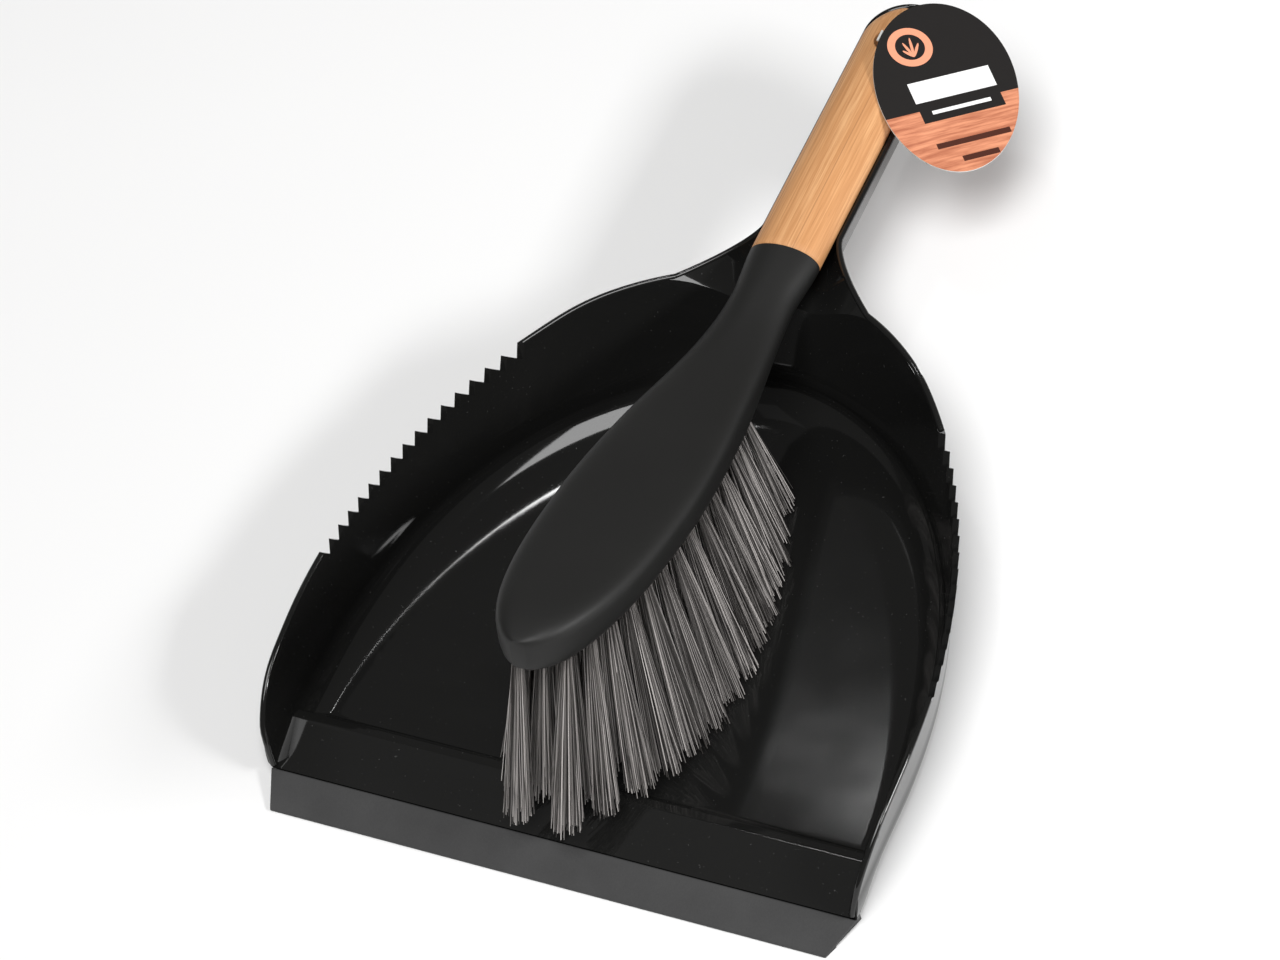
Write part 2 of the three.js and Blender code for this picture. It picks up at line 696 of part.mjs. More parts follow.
function buildTag() {
  const outline = [];
  const points = 40;
  for (let i = 0; i < points; i += 1) {
    const turn = (2 * Math.PI * i) / points;
    const u = (tagLength / 2) * Math.cos(turn);
    const v = (tagWidth / 2) * Math.sin(turn) * (1 - tagBlunt * Math.cos(turn));
    outline.push(new THREE.Vector2(u, v));
  }
  const geometry = new THREE.ExtrudeGeometry(new THREE.Shape(outline), {
    depth: tagThickness,
    bevelEnabled: false,
  });
  geometry.translate(0, 0, -tagThickness / 2);
  geometry.rotateZ(radians(tagTurn));
  geometry.translate(tagCentre, 0, 0);
  geometry.rotateY(radians(tagSlope));
  geometry.translate(pinX, tagCentreY, tagPlaneZ);
  return asSolid(geometry);
}

// Nylon pin: a stem through the hanging hole, a bar under the bamboo and a paddle on the card.
function buildPin() {
  const y = hangHoleY + pinFromHole;
  const bottomZ = neckBottom - channelPlay / 2;
  const bar = (length, z) => {
    const geometry = new THREE.CylinderGeometry(pinRadius, pinRadius, length, 10);
    geometry.translate(pinX, y, z);
    return asSolid(geometry);
  };
  return upright(pinRadius * 0.8, y, bottomZ, pinTopZ, pinX, 10)
    .add(bar(pinBarLength, bottomZ))
    .add(bar(pinPaddleLength, pinTopZ));
}

// ---------------------------------------------------------------- assembly

function piece(name, solid, material) {
  const mesh = new THREE.Mesh(asGeometry(solid), material);
  mesh.name = name;
  return mesh;
}

const pan = new THREE.Group();
pan.add(piece('pan_shell', buildPanShell(), colours.gloss()));
pan.add(piece('rubber_lip', buildLip(), colours.rubber()));

const brush = new THREE.Group();
brush.add(piece('brush_block', buildBlock(), colours.block()));
brush.add(piece('soft_cover', buildCover(), colours.soft()));
brush.add(piece('bamboo_handle', buildBamboo(), colours.bamboo()));
brush.add(piece('handle_screw', buildScrew(), colours.steel()));
for (const tuft of tuftRows()) {
  const name = `tuft_row${tuft.row}_${String(tuft.number).padStart(2, '0')}`;
  brush.add(piece(name, buildTuft(tuftPlace(tuft)), colours.bristle()));
}
brush.add(piece('tag_pin', buildPin(), colours.nylon()));
brush.add(piece('hang_tag', buildTag(), colours.card()));

const set = new THREE.Group();
set.add(pan, brush);
set.position.y = -panLength / 2;
export default set;
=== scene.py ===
# %% [markdown]
# # A dust pan with a toothed rim, and the hand brush that lies in its handle
#
# The pan is one glossy moulding with a soft sweeping edge. The brush has a soft-touch head,
# a bamboo handle and four rows of bristle tufts, and a card tag hangs from the handle.
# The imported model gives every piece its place. This script gives the pieces their final
# shape and finish around that model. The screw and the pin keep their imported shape.

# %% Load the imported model
import math

import bmesh
import bpy
import numpy as np
from mathutils import Matrix, Vector


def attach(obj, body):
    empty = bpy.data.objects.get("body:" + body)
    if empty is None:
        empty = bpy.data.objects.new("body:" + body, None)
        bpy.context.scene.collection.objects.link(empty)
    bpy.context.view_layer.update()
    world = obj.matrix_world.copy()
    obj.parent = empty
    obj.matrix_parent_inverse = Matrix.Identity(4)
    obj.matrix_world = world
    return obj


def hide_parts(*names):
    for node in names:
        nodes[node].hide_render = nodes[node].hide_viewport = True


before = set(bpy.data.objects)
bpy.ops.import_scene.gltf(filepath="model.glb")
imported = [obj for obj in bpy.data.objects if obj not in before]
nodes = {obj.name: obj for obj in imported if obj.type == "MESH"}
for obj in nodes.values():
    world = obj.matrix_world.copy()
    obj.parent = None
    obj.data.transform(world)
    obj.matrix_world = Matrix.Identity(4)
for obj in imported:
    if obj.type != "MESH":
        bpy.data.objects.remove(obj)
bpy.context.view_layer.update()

# %% [markdown]
# ## The camera
#
# A long lens looks down at the set from its front right corner, and the camera is rolled,
# so that the handle leans to the upper right. A matrix with the right, up and back
# directions as its columns sets place, aim and roll in one go.

# %% Camera
AZIMUTH, ELEVATION, ROLL = 39.865, 49.995, -20.0
CAMERA_AT = (0.67677, -0.87443, 1.32967)
LENS_MM = 131.65


def direction(azimuth, elevation):
    """Points from the set to a camera or a lamp. Azimuth 0 is in front of the sweeping edge."""
    a, e = math.radians(azimuth), math.radians(elevation)
    return Vector((math.sin(a) * math.cos(e), -math.cos(a) * math.cos(e), math.sin(e)))


def camera_axes(azimuth, elevation, roll):
    a, turn = math.radians(azimuth), math.radians(roll)
    back = direction(azimuth, elevation)
    level = Vector((math.cos(a), math.sin(a), 0.0))
    above = back.cross(level)
    right = level * math.cos(turn) + above * math.sin(turn)
    return right, back.cross(right), back


camera_data = bpy.data.cameras.new("camera")
camera_data.sensor_width = 36.0
camera_data.lens = LENS_MM
camera_data.clip_start, camera_data.clip_end = 0.05, 50.0
camera = bpy.data.objects.new("camera", camera_data)
camera.matrix_world = Matrix.Translation(CAMERA_AT) @ Matrix(
    camera_axes(AZIMUTH, ELEVATION, ROLL)).transposed().to_4x4()
bpy.context.collection.objects.link(camera)
bpy.context.scene.camera = camera
print("camera:", LENS_MM, "mm lens")

# %% [markdown]
# ## Light and floor
#
# Black gloss shows what it mirrors more than its own colour. A small soft box makes the
# bright streak along the pan's inside corner, and a dim world keeps the floor of the pan dark.
# A large panel high above the set lights the pale floor. The pan's flat floor doesn't mirror
# it towards the camera, and the curved corner at the back does.

# %% Floor, world and lamps
FLOOR_SIZE, FLOOR_GAP = 12.0, 0.0003
LAMP_AIM = Vector((0, 0, 0.02))


def make_floor():
    half = FLOOR_SIZE / 2
    mesh = bpy.data.meshes.new("studio_floor")
    corners = [(-half, -half), (half, -half), (half, half), (-half, half)]
    mesh.from_pydata([(x, y, -FLOOR_GAP) for x, y in corners], [], [(0, 1, 2, 3)])
    floor = bpy.data.objects.new("studio_floor", mesh)
    bpy.context.collection.objects.link(floor)
    return floor


def make_world(colour, strength):
    world = bpy.data.worlds.new("studio_world")
    world.use_nodes = True
    sky = world.node_tree.nodes["Background"]
    sky.inputs["Color"].default_value = (*colour, 1)
    sky.inputs["Strength"].default_value = strength
    bpy.context.scene.world = world


def soft_box(name, azimuth, elevation, distance, size, watts):
    data = bpy.data.lights.new(name, "AREA")
    data.shape = "RECTANGLE"
    data.size, data.size_y = size
    data.energy = watts
    lamp = bpy.data.objects.new(name, data)
    away = direction(azimuth, elevation)
    lamp.matrix_world = Matrix.Translation(LAMP_AIM + away * distance) @ away.to_track_quat(
        "Z", "Y").to_matrix().to_4x4()
    bpy.context.collection.objects.link(lamp)
    return lamp


studio_floor = make_floor()
bpy.context.scene.view_settings.view_transform = "Standard"
make_world((1.0, 0.985, 0.96), 0.13)
soft_box("top_panel", 28, 70, 3.6, (2.0, 2.0), 112)
soft_box("streak_box", -141.5, 58.5, 2.4, (0.15, 0.12), 2.6)
soft_box("side_panel", 92, 30, 2.4, (0.9, 0.3), 36)
soft_box("arc_strip", -109, 43, 2.4, (0.09, 0.8), 0.16)
soft_box("ramp_panel", -74, 66, 3.0, (1.4, 0.7), 0.35)

# %% [markdown]
# ## Shader maths written as Python
#
# A finish is easier to read as an expression than as a web of nodes. `Value` wraps one
# socket, and each operator adds a Math node behind it. `Finish` holds one material, and its
# `add` method makes any other node.

# %% Values and finishes


class Value:
    """One number that changes over a surface."""

    def __init__(self, tree, socket):
        self.tree = tree
        self.socket = socket

    def _math(self, operation, other=None):
        node = self.tree.nodes.new("ShaderNodeMath")
        node.operation = operation
        for entry, item in zip(node.inputs, (self, other)):
            if isinstance(item, Value):
                self.tree.links.new(item.socket, entry)
            elif item is not None:
                entry.default_value = float(item)
        return Value(self.tree, node.outputs[0])

    def __add__(self, other):
        return self._math("ADD", other)

    __radd__ = __add__

    def __sub__(self, other):
        return self._math("SUBTRACT", other)

    def __mul__(self, other):
        return self._math("MULTIPLY", other)

    def __truediv__(self, other):
        return self._math("DIVIDE", other)

    def __pow__(self, other):
        return self._math("POWER", other)

    def __lt__(self, other):
        return self._math("LESS_THAN", other)

    def __gt__(self, other):
        return self._math("GREATER_THAN", other)

    def __abs__(self):
        return self._math("ABSOLUTE")

    def floor(self):
        return self._math("FLOOR")

    def clamp(self):
        return self._math("MINIMUM", 1.0)._math("MAXIMUM", 0.0)


class Finish:
    """One material, with a Principled shader and the nodes that feed it."""

    def __init__(self, name, colour, roughness, **constants):
        self.material = bpy.data.materials.new(name)
        self.material.use_nodes = True
        self.material.diffuse_color = (*colour, 1)
        self.tree = self.material.node_tree
        self.shader = self.tree.nodes["Principled BSDF"]
        self.shader.inputs["Base Color"].default_value = (*colour, 1)
        self.shader.inputs["Roughness"].default_value = roughness
        for label, number in constants.items():
            self.shader.inputs[label.replace("_", " ")].default_value = number

    def add(self, kind, settings=None, inputs=None, output=0):
        node = self.tree.nodes.new(kind)
        for label, setting in (settings or {}).items():
            setattr(node, label, setting)
        for label, item in (inputs or {}).items():
            entry = node.inputs[label]
            if isinstance(item, Value):
                self.tree.links.new(item.socket, entry)
            else:
                entry.default_value = item
        return Value(self.tree, node.outputs[output])

    def where(self, scale=(1, 1, 1), offset=(0, 0, 0)):
        place = self.add("ShaderNodeTexCoord", output="Object")
        return self.add("ShaderNodeMapping", {}, {
            "Vector": place, "Scale": scale, "Location": offset})

    def axes(self, vector):
        split = self.add("ShaderNodeSeparateXYZ", {}, {"Vector": vector})
        node = split.socket.node
        return [Value(self.tree, node.outputs[i]) for i in range(3)]

    def noise(self, vector, scale, detail=3.0, roughness=0.5):
        return self.add("ShaderNodeTexNoise", {}, {
            "Vector": vector, "Scale": scale, "Detail": detail, "Roughness": roughness}, "Fac")

    def mix(self, factor, low, high):
        node = self.tree.nodes.new("ShaderNodeMix")
        node.data_type = "RGBA"
        for entry, item in ((node.inputs[0], factor), (node.inputs[6], low), (node.inputs[7], high)):
            if isinstance(item, Value):
                self.tree.links.new(item.socket, entry)
            else:
                entry.default_value = (*item, 1) if isinstance(item, tuple) else item
        return Value(self.tree, node.outputs[2])

    def feed(self, label, value):
        self.tree.links.new(value.socket, self.shader.inputs[label])

    def bump(self, height, strength, distance):
        self.feed("Normal", self.add("ShaderNodeBump", {}, {
            "Height": height, "Strength": strength, "Distance": distance}))


# %% [markdown]
# ## The finishes
#
# Each finish keeps the scale of the real surface: grain a fraction of a millimetre wide on
# the bamboo, a faint orange-peel ripple in the gloss, a fine grain on the soft rubber.

# %% Plastics and rubbers
PAN_BLACK, DUST_GREY = (0.0085, 0.0085, 0.0082), (0.06, 0.06, 0.058)


def gloss_black():
    finish = Finish("gloss_black", PAN_BLACK, 0.16, Specular_IOR_Level=0.4)
    place = finish.where()
    ripple = finish.noise(place, 55, 2)
    dust = finish.noise(place, 900, 2)
    finish.feed("Roughness", 0.05 + ripple * 0.04 + (dust > 0.73) * 0.3)
    finish.feed("Base Color", finish.mix((dust > 0.74) * 0.5, PAN_BLACK, DUST_GREY))
    finish.bump(ripple, 0.02, 0.0006)
    return finish.material


def lip_rubber():
    finish = Finish("lip_rubber", (0.06, 0.06, 0.061), 0.75)
    place = finish.where()
    cloud = finish.noise(place, 60, 4)
    grain = finish.noise(place, 1400, 2)
    finish.feed("Base Color", finish.mix(cloud, (0.028, 0.028, 0.0285), (0.05, 0.05, 0.0505)))
    finish.feed("Roughness", 0.62 + grain * 0.25)
    finish.bump(grain, 0.25, 0.0003)
    return finish.material


def soft_touch():
    finish = Finish("soft_touch", (0.016, 0.0158, 0.015), 0.5, Specular_IOR_Level=0.35)
    place = finish.where()
    cloud = finish.noise(place, 30, 3)
    grain = finish.noise(place, 2200, 2)
    finish.feed("Base Color", finish.mix(cloud, (0.008, 0.0079, 0.0075), (0.012, 0.0118, 0.0112)))
    finish.feed("Roughness", 0.46 + grain * 0.12)
    finish.bump(grain, 0.12, 0.0002)
    return finish.material


def block_plastic():
    finish = Finish("block_plastic", (0.02, 0.02, 0.021), 0.5)
    grain = finish.noise(finish.where(), 700, 2)
    finish.feed("Roughness", 0.42 + grain * 0.2)
    finish.bump(grain, 0.2, 0.0003)
    return finish.material


print("plastics and rubbers ready")

# %% [markdown]
# Bamboo board is glued from strips 15.5 mm wide. Each strip has its own tone, and
# all of them carry fine dark fibres that run the length of the handle. The noise is squeezed
# across the handle and stretched along it.

# %% Bamboo, bristle, metal, nylon and floor
STRIP_WIDTH, FIRST_JOINT = 0.0155, -0.0072


def bamboo_board():
    finish = Finish("bamboo_board", (0.7, 0.38, 0.18), 0.5)
    x, y, z = finish.axes(finish.where())
    across_strips = (x - FIRST_JOINT + z * 0.06 + 10 * STRIP_WIDTH) / STRIP_WIDTH
    strip = across_strips.floor()
    joint = abs(across_strips - strip - 0.5) > 0.485
    tone = finish.add("ShaderNodeTexWhiteNoise", {"noise_dimensions": "1D"}, {"W": strip}, "Value")
    fibres = finish.noise(finish.where((1300, 26, 1300)), 1.0, 4, 0.65)
    threads = finish.noise(finish.where((2600, 60, 2600), (3, 1, 7)), 1.0, 2, 0.5)
    bands = finish.noise(finish.where((260, 9, 260)), 1.0, 3, 0.6)
    light = finish.mix(tone, (0.70, 0.37, 0.165), (0.80, 0.47, 0.23))
    wood = finish.mix(((bands - 0.35) * 2.2).clamp(), (0.60, 0.29, 0.115), light)
    wood = finish.mix(((fibres - 0.38) * 4.5).clamp(), (0.52, 0.24, 0.09), wood)
    wood = finish.mix(((threads - 0.66) * 9).clamp() * 0.6, wood, (0.30, 0.115, 0.04))
    finish.feed("Base Color", finish.mix(joint * 0.55, wood, (0.34, 0.14, 0.05)))
    finish.feed("Roughness", 0.5 + fibres * 0.2)
    finish.bump(fibres, 0.25, 0.0003)
    return finish.material


def bristle_filament():
    finish = Finish("bristle_filament", (0.36, 0.335, 0.31), 0.42)
    tone = finish.add("ShaderNodeAttribute", {"attribute_name": "tone"}, output="Fac")
    along = finish.add("ShaderNodeAttribute", {"attribute_name": "along"}, output="Fac")
    body = finish.mix(tone ** 1.8, (0.035, 0.032, 0.03), (0.60, 0.565, 0.545))
    # Painted shade: each filament fades to a dark grey towards its root, where the head and the other
    # tufts shade it.
    finish.feed("Base Color", finish.mix((along * 2.2 + 0.25).clamp(), (0.12, 0.11, 0.105), body))
    finish.feed("Roughness", 0.34 + tone * 0.18)
    return finish.material


def zinc_steel():
    finish = Finish("zinc_steel", (0.6, 0.6, 0.61), 0.35, Metallic=1.0)
    grain = finish.noise(finish.where((900, 900, 90)), 1.0, 2)
    finish.feed("Roughness", 0.25 + grain * 0.25)
    return finish.material


def clear_nylon():
    finish = Finish("clear_nylon", (0.72, 0.72, 0.7), 0.35)
    cloud = finish.noise(finish.where(), 300, 2)
    finish.feed("Base Color", finish.mix(cloud, (0.66, 0.66, 0.64), (0.78, 0.78, 0.76)))
    finish.feed("Roughness", 0.28 + cloud * 0.15)
    return finish.material


def floor_paper():
    finish = Finish("floor_paper", (0.86, 0.86, 0.86), 0.8)
    cloud = finish.noise(finish.where(), 3, 2)
    finish.feed("Base Color", finish.mix(cloud, (0.84, 0.84, 0.84), (0.88, 0.88, 0.88)))
    return finish.material


studio_floor.data.materials.append(floor_paper())
print("bamboo, bristle, steel, nylon and floor ready")

# %% [markdown]
# ## Solids from rings
#
# Moulded shells are lofts: a stack of rings with the same number of points, joined by quads
# and closed at both ends. Two lofts make a wall when one is cut out of the other. The sizes
# are in millimetres from the sweeping edge, and `placed` turns them into metres about the
# middle of the set.

# %% Loft, cut and join
PAN_LENGTH = 380.0
HOLE_SIDES = 48


def placed(points):
    return (np.asarray(points, float) - (0, PAN_LENGTH / 2, 0)) / 1000


def new_object(name, points, faces):
    mesh = bpy.data.meshes.new(name)
    mesh.from_pydata([tuple(p) for p in placed(points)], [], faces)
    work = bmesh.new()
    work.from_mesh(mesh)
    bmesh.ops.recalc_face_normals(work, faces=work.faces)
    work.to_mesh(mesh)
    work.free()
    item = bpy.data.objects.new(name, mesh)
    bpy.context.collection.objects.link(item)
    return item


def full_turn(steps):
    return [2 * math.pi * i / steps for i in range(steps)]


def loft(name, rings):
    count = len(rings[0])
    points = np.concatenate([np.asarray(r, float) for r in rings])
    faces = []
    for a in range(0, len(points) - count, count):
        b = a + count
        faces += [(a + i, a + (i + 1) % count, b + (i + 1) % count, b + i) for i in range(count)]
    faces.append(tuple(range(count))[::-1])
    faces.append(tuple(range(len(points) - count, len(points))))
    return new_object(name, points, faces)


def across(name, side_view, half):
    left = [(-half, y, z) for y, z in side_view]
    right = [(half, y, z) for y, z in side_view]
    return loft(name, [left, right])


def upright(name, radius, y, z0, z1):
    return loft(name, [[(radius * math.cos(t), y + radius * math.sin(t), z)
                        for t in full_turn(HOLE_SIDES)] for z in (z0, z1)])


def baked_mesh(item):
    return bpy.data.meshes.new_from_object(item.evaluated_get(bpy.context.evaluated_depsgraph_get()))


def combine(base, operation, *others):
    """Cuts the others out of base, joins them to it, or keeps what they share."""
    for other in others:
        step = base.modifiers.new(operation, "BOOLEAN")
        step.operation = operation
        step.solver = "MANIFOLD"
        step.object = other
        bpy.context.view_layer.update()
        shaped = baked_mesh(base)
        base.modifiers.remove(step)
        base.data = shaped
        bpy.data.objects.remove(other)
    return base


def smooth_with_edges(item, degrees):
    item.data.shade_smooth()
    item.data.set_sharp_from_angle(angle=math.radians(degrees))


def hand_over(item, material, body, slot, *stands_for):
    """Gives a finished piece its one material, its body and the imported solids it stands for."""
    item.data.materials.clear()
    item.data.materials.append(material)
    item.data.polygons.foreach_set("material_index", [0] * len(item.data.polygons))
    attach(item, body)
    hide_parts(*stands_for)


print("loft tools ready")

# %% [markdown]
# ## The pan's tray
#
# The tray's outline is straight at the front and a superellipse at the back. It grows from
# the flat floor through a round to the leaning wall, so each ring is a blend of the floor's
# outline and the rim's.

# %% Tray outlines
LIP_WIDTH, BODY_WIDTH, BODY_DEPTH = 220.0, 246.0, 240.0
WALL_TOP, WALL = 48.5, 2.2
SHOULDER_Y, FLOOR_WIDTH, FLOOR_DEPTH, FLOOR_SHOULDER_Y = 57.0, 210.0, 203.5, 45.0
SIDE_FILLET, FRONT_ROUND, FRONT_ROUND_FROM, SIDE_DRAFT, ROUND_SETBACK = 12.0, 0.2, 20.0, 0.225, 19.0
WALL_ROUND, FLOOR_ROUND = (2.15, 1.9), (1.7, 1.45)
LIP_DEPTH, SEAM, FAR = 15.0, 0.3, 20.0
ABOVE_RIM = WALL_TOP + 6
FILLET_TOP = WALL + SIDE_FILLET
ARC_STEPS, FRONT_STEPS, ROUND_STEPS, WALL_STEPS = 110, 26, 16, 8


def lerp(a, b, t):
    return a + (b - a) * t


def smooth(value, low, high):
    t = min(max((value - low) / (high - low), 0.0), 1.0)
    return t * t * (3 - 2 * t)


def tray_outline(half, depth, shoulder, powers, front, flare):
    right = []
    for i in range(FRONT_STEPS + 1):
        y = lerp(front, shoulder, i / FRONT_STEPS)
        right.append((half + flare * (1 - smooth(y, FRONT_ROUND_FROM, FLOOR_SHOULDER_Y)), y))
    for i in range(1, ARC_STEPS + 1):
        turn = math.pi / 2 * i / ARC_STEPS
        x = half * max(math.cos(turn), 0) ** (2 / powers[1])
        right.append((x, shoulder + (depth - shoulder) * math.sin(turn) ** (2 / powers[0])))
    right[-1] = (0.0, right[-1][1])
    return right


def grow(half, distance):
    line = np.asarray(half)
    before, after = np.vstack([line[:1], line[:-1]]), np.vstack([line[1:], line[-1:]])
    along = after - before
    along /= np.linalg.norm(along, axis=1, keepdims=True)
    grown = line + np.stack([along[:, 1], -along[:, 0]], 1) * distance
    grown[-1] = (0, line[-1][1] + distance)
    return grown


def both_sides(half, z):
    right = [(x, y, z) for x, y in half]
    return right + [(-x, y, z) for x, y in half[:-1][::-1]]


def tray_level(t, z, front):
    shape = math.sin(math.pi / 2 * t) if t < 1 else 1.0
    half_above = BODY_WIDTH / 2 - (WALL_TOP - z) * SIDE_DRAFT
    half_round = BODY_WIDTH / 2 - (WALL_TOP - FILLET_TOP) * SIDE_DRAFT
    half = lerp(FLOOR_WIDTH / 2, half_round, shape) if t < 1 else half_above
    back_round = BODY_DEPTH - ROUND_SETBACK
    back_above = back_round + (z - FILLET_TOP) * ROUND_SETBACK / (WALL_TOP - FILLET_TOP)
    return tray_outline(
        half,
        lerp(FLOOR_DEPTH, back_round, shape) if t < 1 else back_above,
        lerp(FLOOR_SHOULDER_Y, SHOULDER_Y, shape) if t < 1 else SHOULDER_Y,
        [lerp(a, b, shape) for a, b in zip(FLOOR_ROUND, WALL_ROUND)] if t < 1 else WALL_ROUND,
        front,
        (half_round - half) * (1 - FRONT_ROUND) if t < 1 else 0.0)


def tray_rings(skin, front, top):
    rings = []
    for i in range(ROUND_STEPS + 1):
        t = i / ROUND_STEPS
        turn = math.pi / 2 * t
        z = WALL + SIDE_FILLET * (1 - math.cos(turn))
        level = grow(tray_level(t, z, front), skin * math.sin(turn))
        rings.append(both_sides([tuple(p) for p in level], z - skin * math.cos(turn)))
    for i in range(1, WALL_STEPS + 1):
        z = lerp(FILLET_TOP, top, i / WALL_STEPS)
        rings.append(both_sides([tuple(p) for p in grow(tray_level(1, z, front), skin)], z))
    return rings


print("tray ring:", len(tray_rings(0, 0, ABOVE_RIM)[0]), "points")

# %% [markdown]
# The neck flares out of the tray's back and runs into a straight channel with a round end.
# Its floor lies about 2 mm below the underside of the bamboo.

# %% Handle channel
CHANNEL_WIDTH, CHANNEL_DEPTH, CHANNEL_TAPER = 32.4, 8.9, 2.4
NECK_FLARE, NECK_FLOOR_FLARE, NECK_LENGTH, NECK_START_Y, NECK_CURVE = 44.5, 10.0, 49.0, 214.0, 1.4
BEAD_OUT = 1.1
CHANNEL_FLOOR = WALL_TOP - CHANNEL_DEPTH
CORNER_ROUND = 2.6
NECK_STEPS, END_STEPS, CORNER_STEPS = 44, 32, 6


def channel_outline(inset, flare):
    half = CHANNEL_WIDTH / 2 - inset
    end_centre = PAN_LENGTH - BEAD_OUT - CHANNEL_WIDTH / 2
    line = [(half + flare, NECK_START_Y - SEAM)]
    for i in range(NECK_STEPS + 1):
        t = i / NECK_STEPS
        line.append((half + flare * (1 - t) ** NECK_CURVE, NECK_START_Y + NECK_LENGTH * t))
    for i in range(END_STEPS + 1):
        turn = math.pi / 2 * i / END_STEPS
        line.append((half * math.cos(turn), end_centre + half * math.sin(turn)))
    line[-1] = (0.0, line[-1][1])
    return line


def channel_solid(name, inset, z0, z1):
    """A loft whose bottom edge is rounded, so that the channel has no knife-sharp corners."""
    rings = []
    for i in range(CORNER_STEPS + 1):
        turn = math.pi / 2 * i / CORNER_STEPS
        z = z0 + CORNER_ROUND * (1 - math.cos(turn))
        share = (z - z0) / (WALL_TOP - z0)
        pull = CORNER_ROUND * (1 - math.sin(turn))
        rings.append(both_sides(channel_outline(
            inset + CHANNEL_TAPER * (1 - share) + pull, lerp(NECK_FLOOR_FLARE, NECK_FLARE, share)), z))
    for z in (WALL_TOP, z1):
        rings.append(both_sides(channel_outline(inset, NECK_FLARE), z))
    return loft(name, rings)


# %% [markdown]
# The rim sweeps down from the back to the front corner. On each side it carries a row of
# teeth that comb fluff out of the brush. A side view of everything above the rim, carried
# across the pan, trims both walls at once.

# %% Rim line and teeth
RIM_END_DROP = 44.5
TOOTH_START_Y, TOOTH_END_Y, TOOTH_COUNT, TOOTH_DEPTH, TOOTH_INSET = 87.0, 190.0, 16, 4.4, 0.4
RIM_POINTS = [
    (LIP_DEPTH - 0.5, 1.0), (LIP_DEPTH + 3, 0.78), (LIP_DEPTH + 8, 0.6), (LIP_DEPTH + 22, 0.4),
    (SHOULDER_Y, 0.305), (TOOTH_START_Y, 0.23), (lerp(TOOTH_START_Y, TOOTH_END_Y, 0.5), 0.16),
    (TOOTH_END_Y, 0.07), (TOOTH_END_Y + 26, 0.0), (BODY_DEPTH + 10, 0.0)]


def rim_curve(steps):
    knots = np.array([(y, WALL_TOP - RIM_END_DROP * drop) for y, drop in RIM_POINTS])
    line = []
    for k in range(steps + 1):
        at = (len(knots) - 1) * k / steps
        i = int(min(math.floor(at), len(knots) - 1))
        t = at - i
        p0, p1 = knots[max(i - 1, 0)], knots[i]
        p2, p3 = knots[min(i + 1, len(knots) - 1)], knots[min(i + 2, len(knots) - 1)]
        v0, v1 = (p2 - p0) / 2, (p3 - p1) / 2
        line.append((2 * p1 - 2 * p2 + v0 + v1) * t ** 3 + (3 * p2 - 3 * p1 - 2 * v0 - v1) * t ** 2
                    + v0 * t + p1)
    return np.array(line)


RIM_STEPS = 220
RIM_LINE = rim_curve(RIM_STEPS)


def rim_height(y):
    return float(np.interp(y, RIM_LINE[:, 0], RIM_LINE[:, 1]))


def above_rim(name):
    pitch = (TOOTH_END_Y - TOOTH_START_Y) / TOOTH_COUNT
    line = [(y, z) for y, z in RIM_LINE if y < TOOTH_START_Y - 0.5]
    line.append((TOOTH_START_Y, rim_height(TOOTH_START_Y)))
    for i in range(TOOTH_COUNT):
        y = TOOTH_START_Y + pitch * (i + 0.5)
        line.append((y, rim_height(y) - TOOTH_INSET - TOOTH_DEPTH))
        if i < TOOTH_COUNT - 1:
            line.append((y + pitch / 2, rim_height(y + pitch / 2) - TOOTH_INSET))
    line.append((TOOTH_END_Y, rim_height(TOOTH_END_Y)))
    line += [(y, z) for y, z in RIM_LINE if y > TOOTH_END_Y + 0.5]
    top = ABOVE_RIM + FAR
    behind = PAN_LENGTH + FAR
    view = [(-FAR, line[0][1]), *line, (behind, line[-1][1]), (behind, top), (-FAR, top)]
    return across(name, view, BODY_WIDTH)


print("rim:", len(RIM_LINE), "points,", TOOTH_COUNT, "teeth a side")

# %% [markdown]
# A thin rolled bead runs along the smooth parts of the rim. It is a tube that is swept
# along the rim and joined to the wall.

# %% Rim bead
BEAD_RADIUS, BEAD_DROP, BEAD_SIDES = 1.2, 0.55, 14


def rim_path():
    """The rim's centre line on the right side, from the front corner to the handle's end."""
    middle = WALL / 2
    columns = len(tray_level(1, WALL_TOP, LIP_DEPTH + SEAM))
    tray = []
    for i in range(columns):
        z = WALL_TOP
        for _ in range(8):
            x, y = grow(tray_level(1, z, LIP_DEPTH + SEAM), middle)[i]
            z = rim_height(y)
        tray.append((x, y, z))
    neck = [(x, y, WALL_TOP) for x, y in channel_outline(middle, NECK_FLARE)][2:]
    neck_x, neck_y = [p[0] for p in neck], [p[1] for p in neck]
    kept = [p for p in tray if p[1] < neck_y[0] or p[0] > np.interp(p[1], neck_y, neck_x)]
    join_y = kept[-1][1]
    return np.array(kept), np.array([p for p in neck if p[1] > join_y + 0.4])


def sweep(name, path, radius):
    path = np.asarray(path, float)
    ahead = np.gradient(path, axis=0)
    ahead /= np.linalg.norm(ahead, axis=1, keepdims=True)
    up = np.array([0, 0, 1.0])
    rings = []
    for p, d in zip(path, ahead):
        side = np.cross(d, up)
        side /= np.linalg.norm(side)
        over = np.cross(side, d)
        rings.append([p + radius * (math.cos(t) * side + math.sin(t) * over)
                      for t in full_turn(BEAD_SIDES)])
    return loft(name, rings)


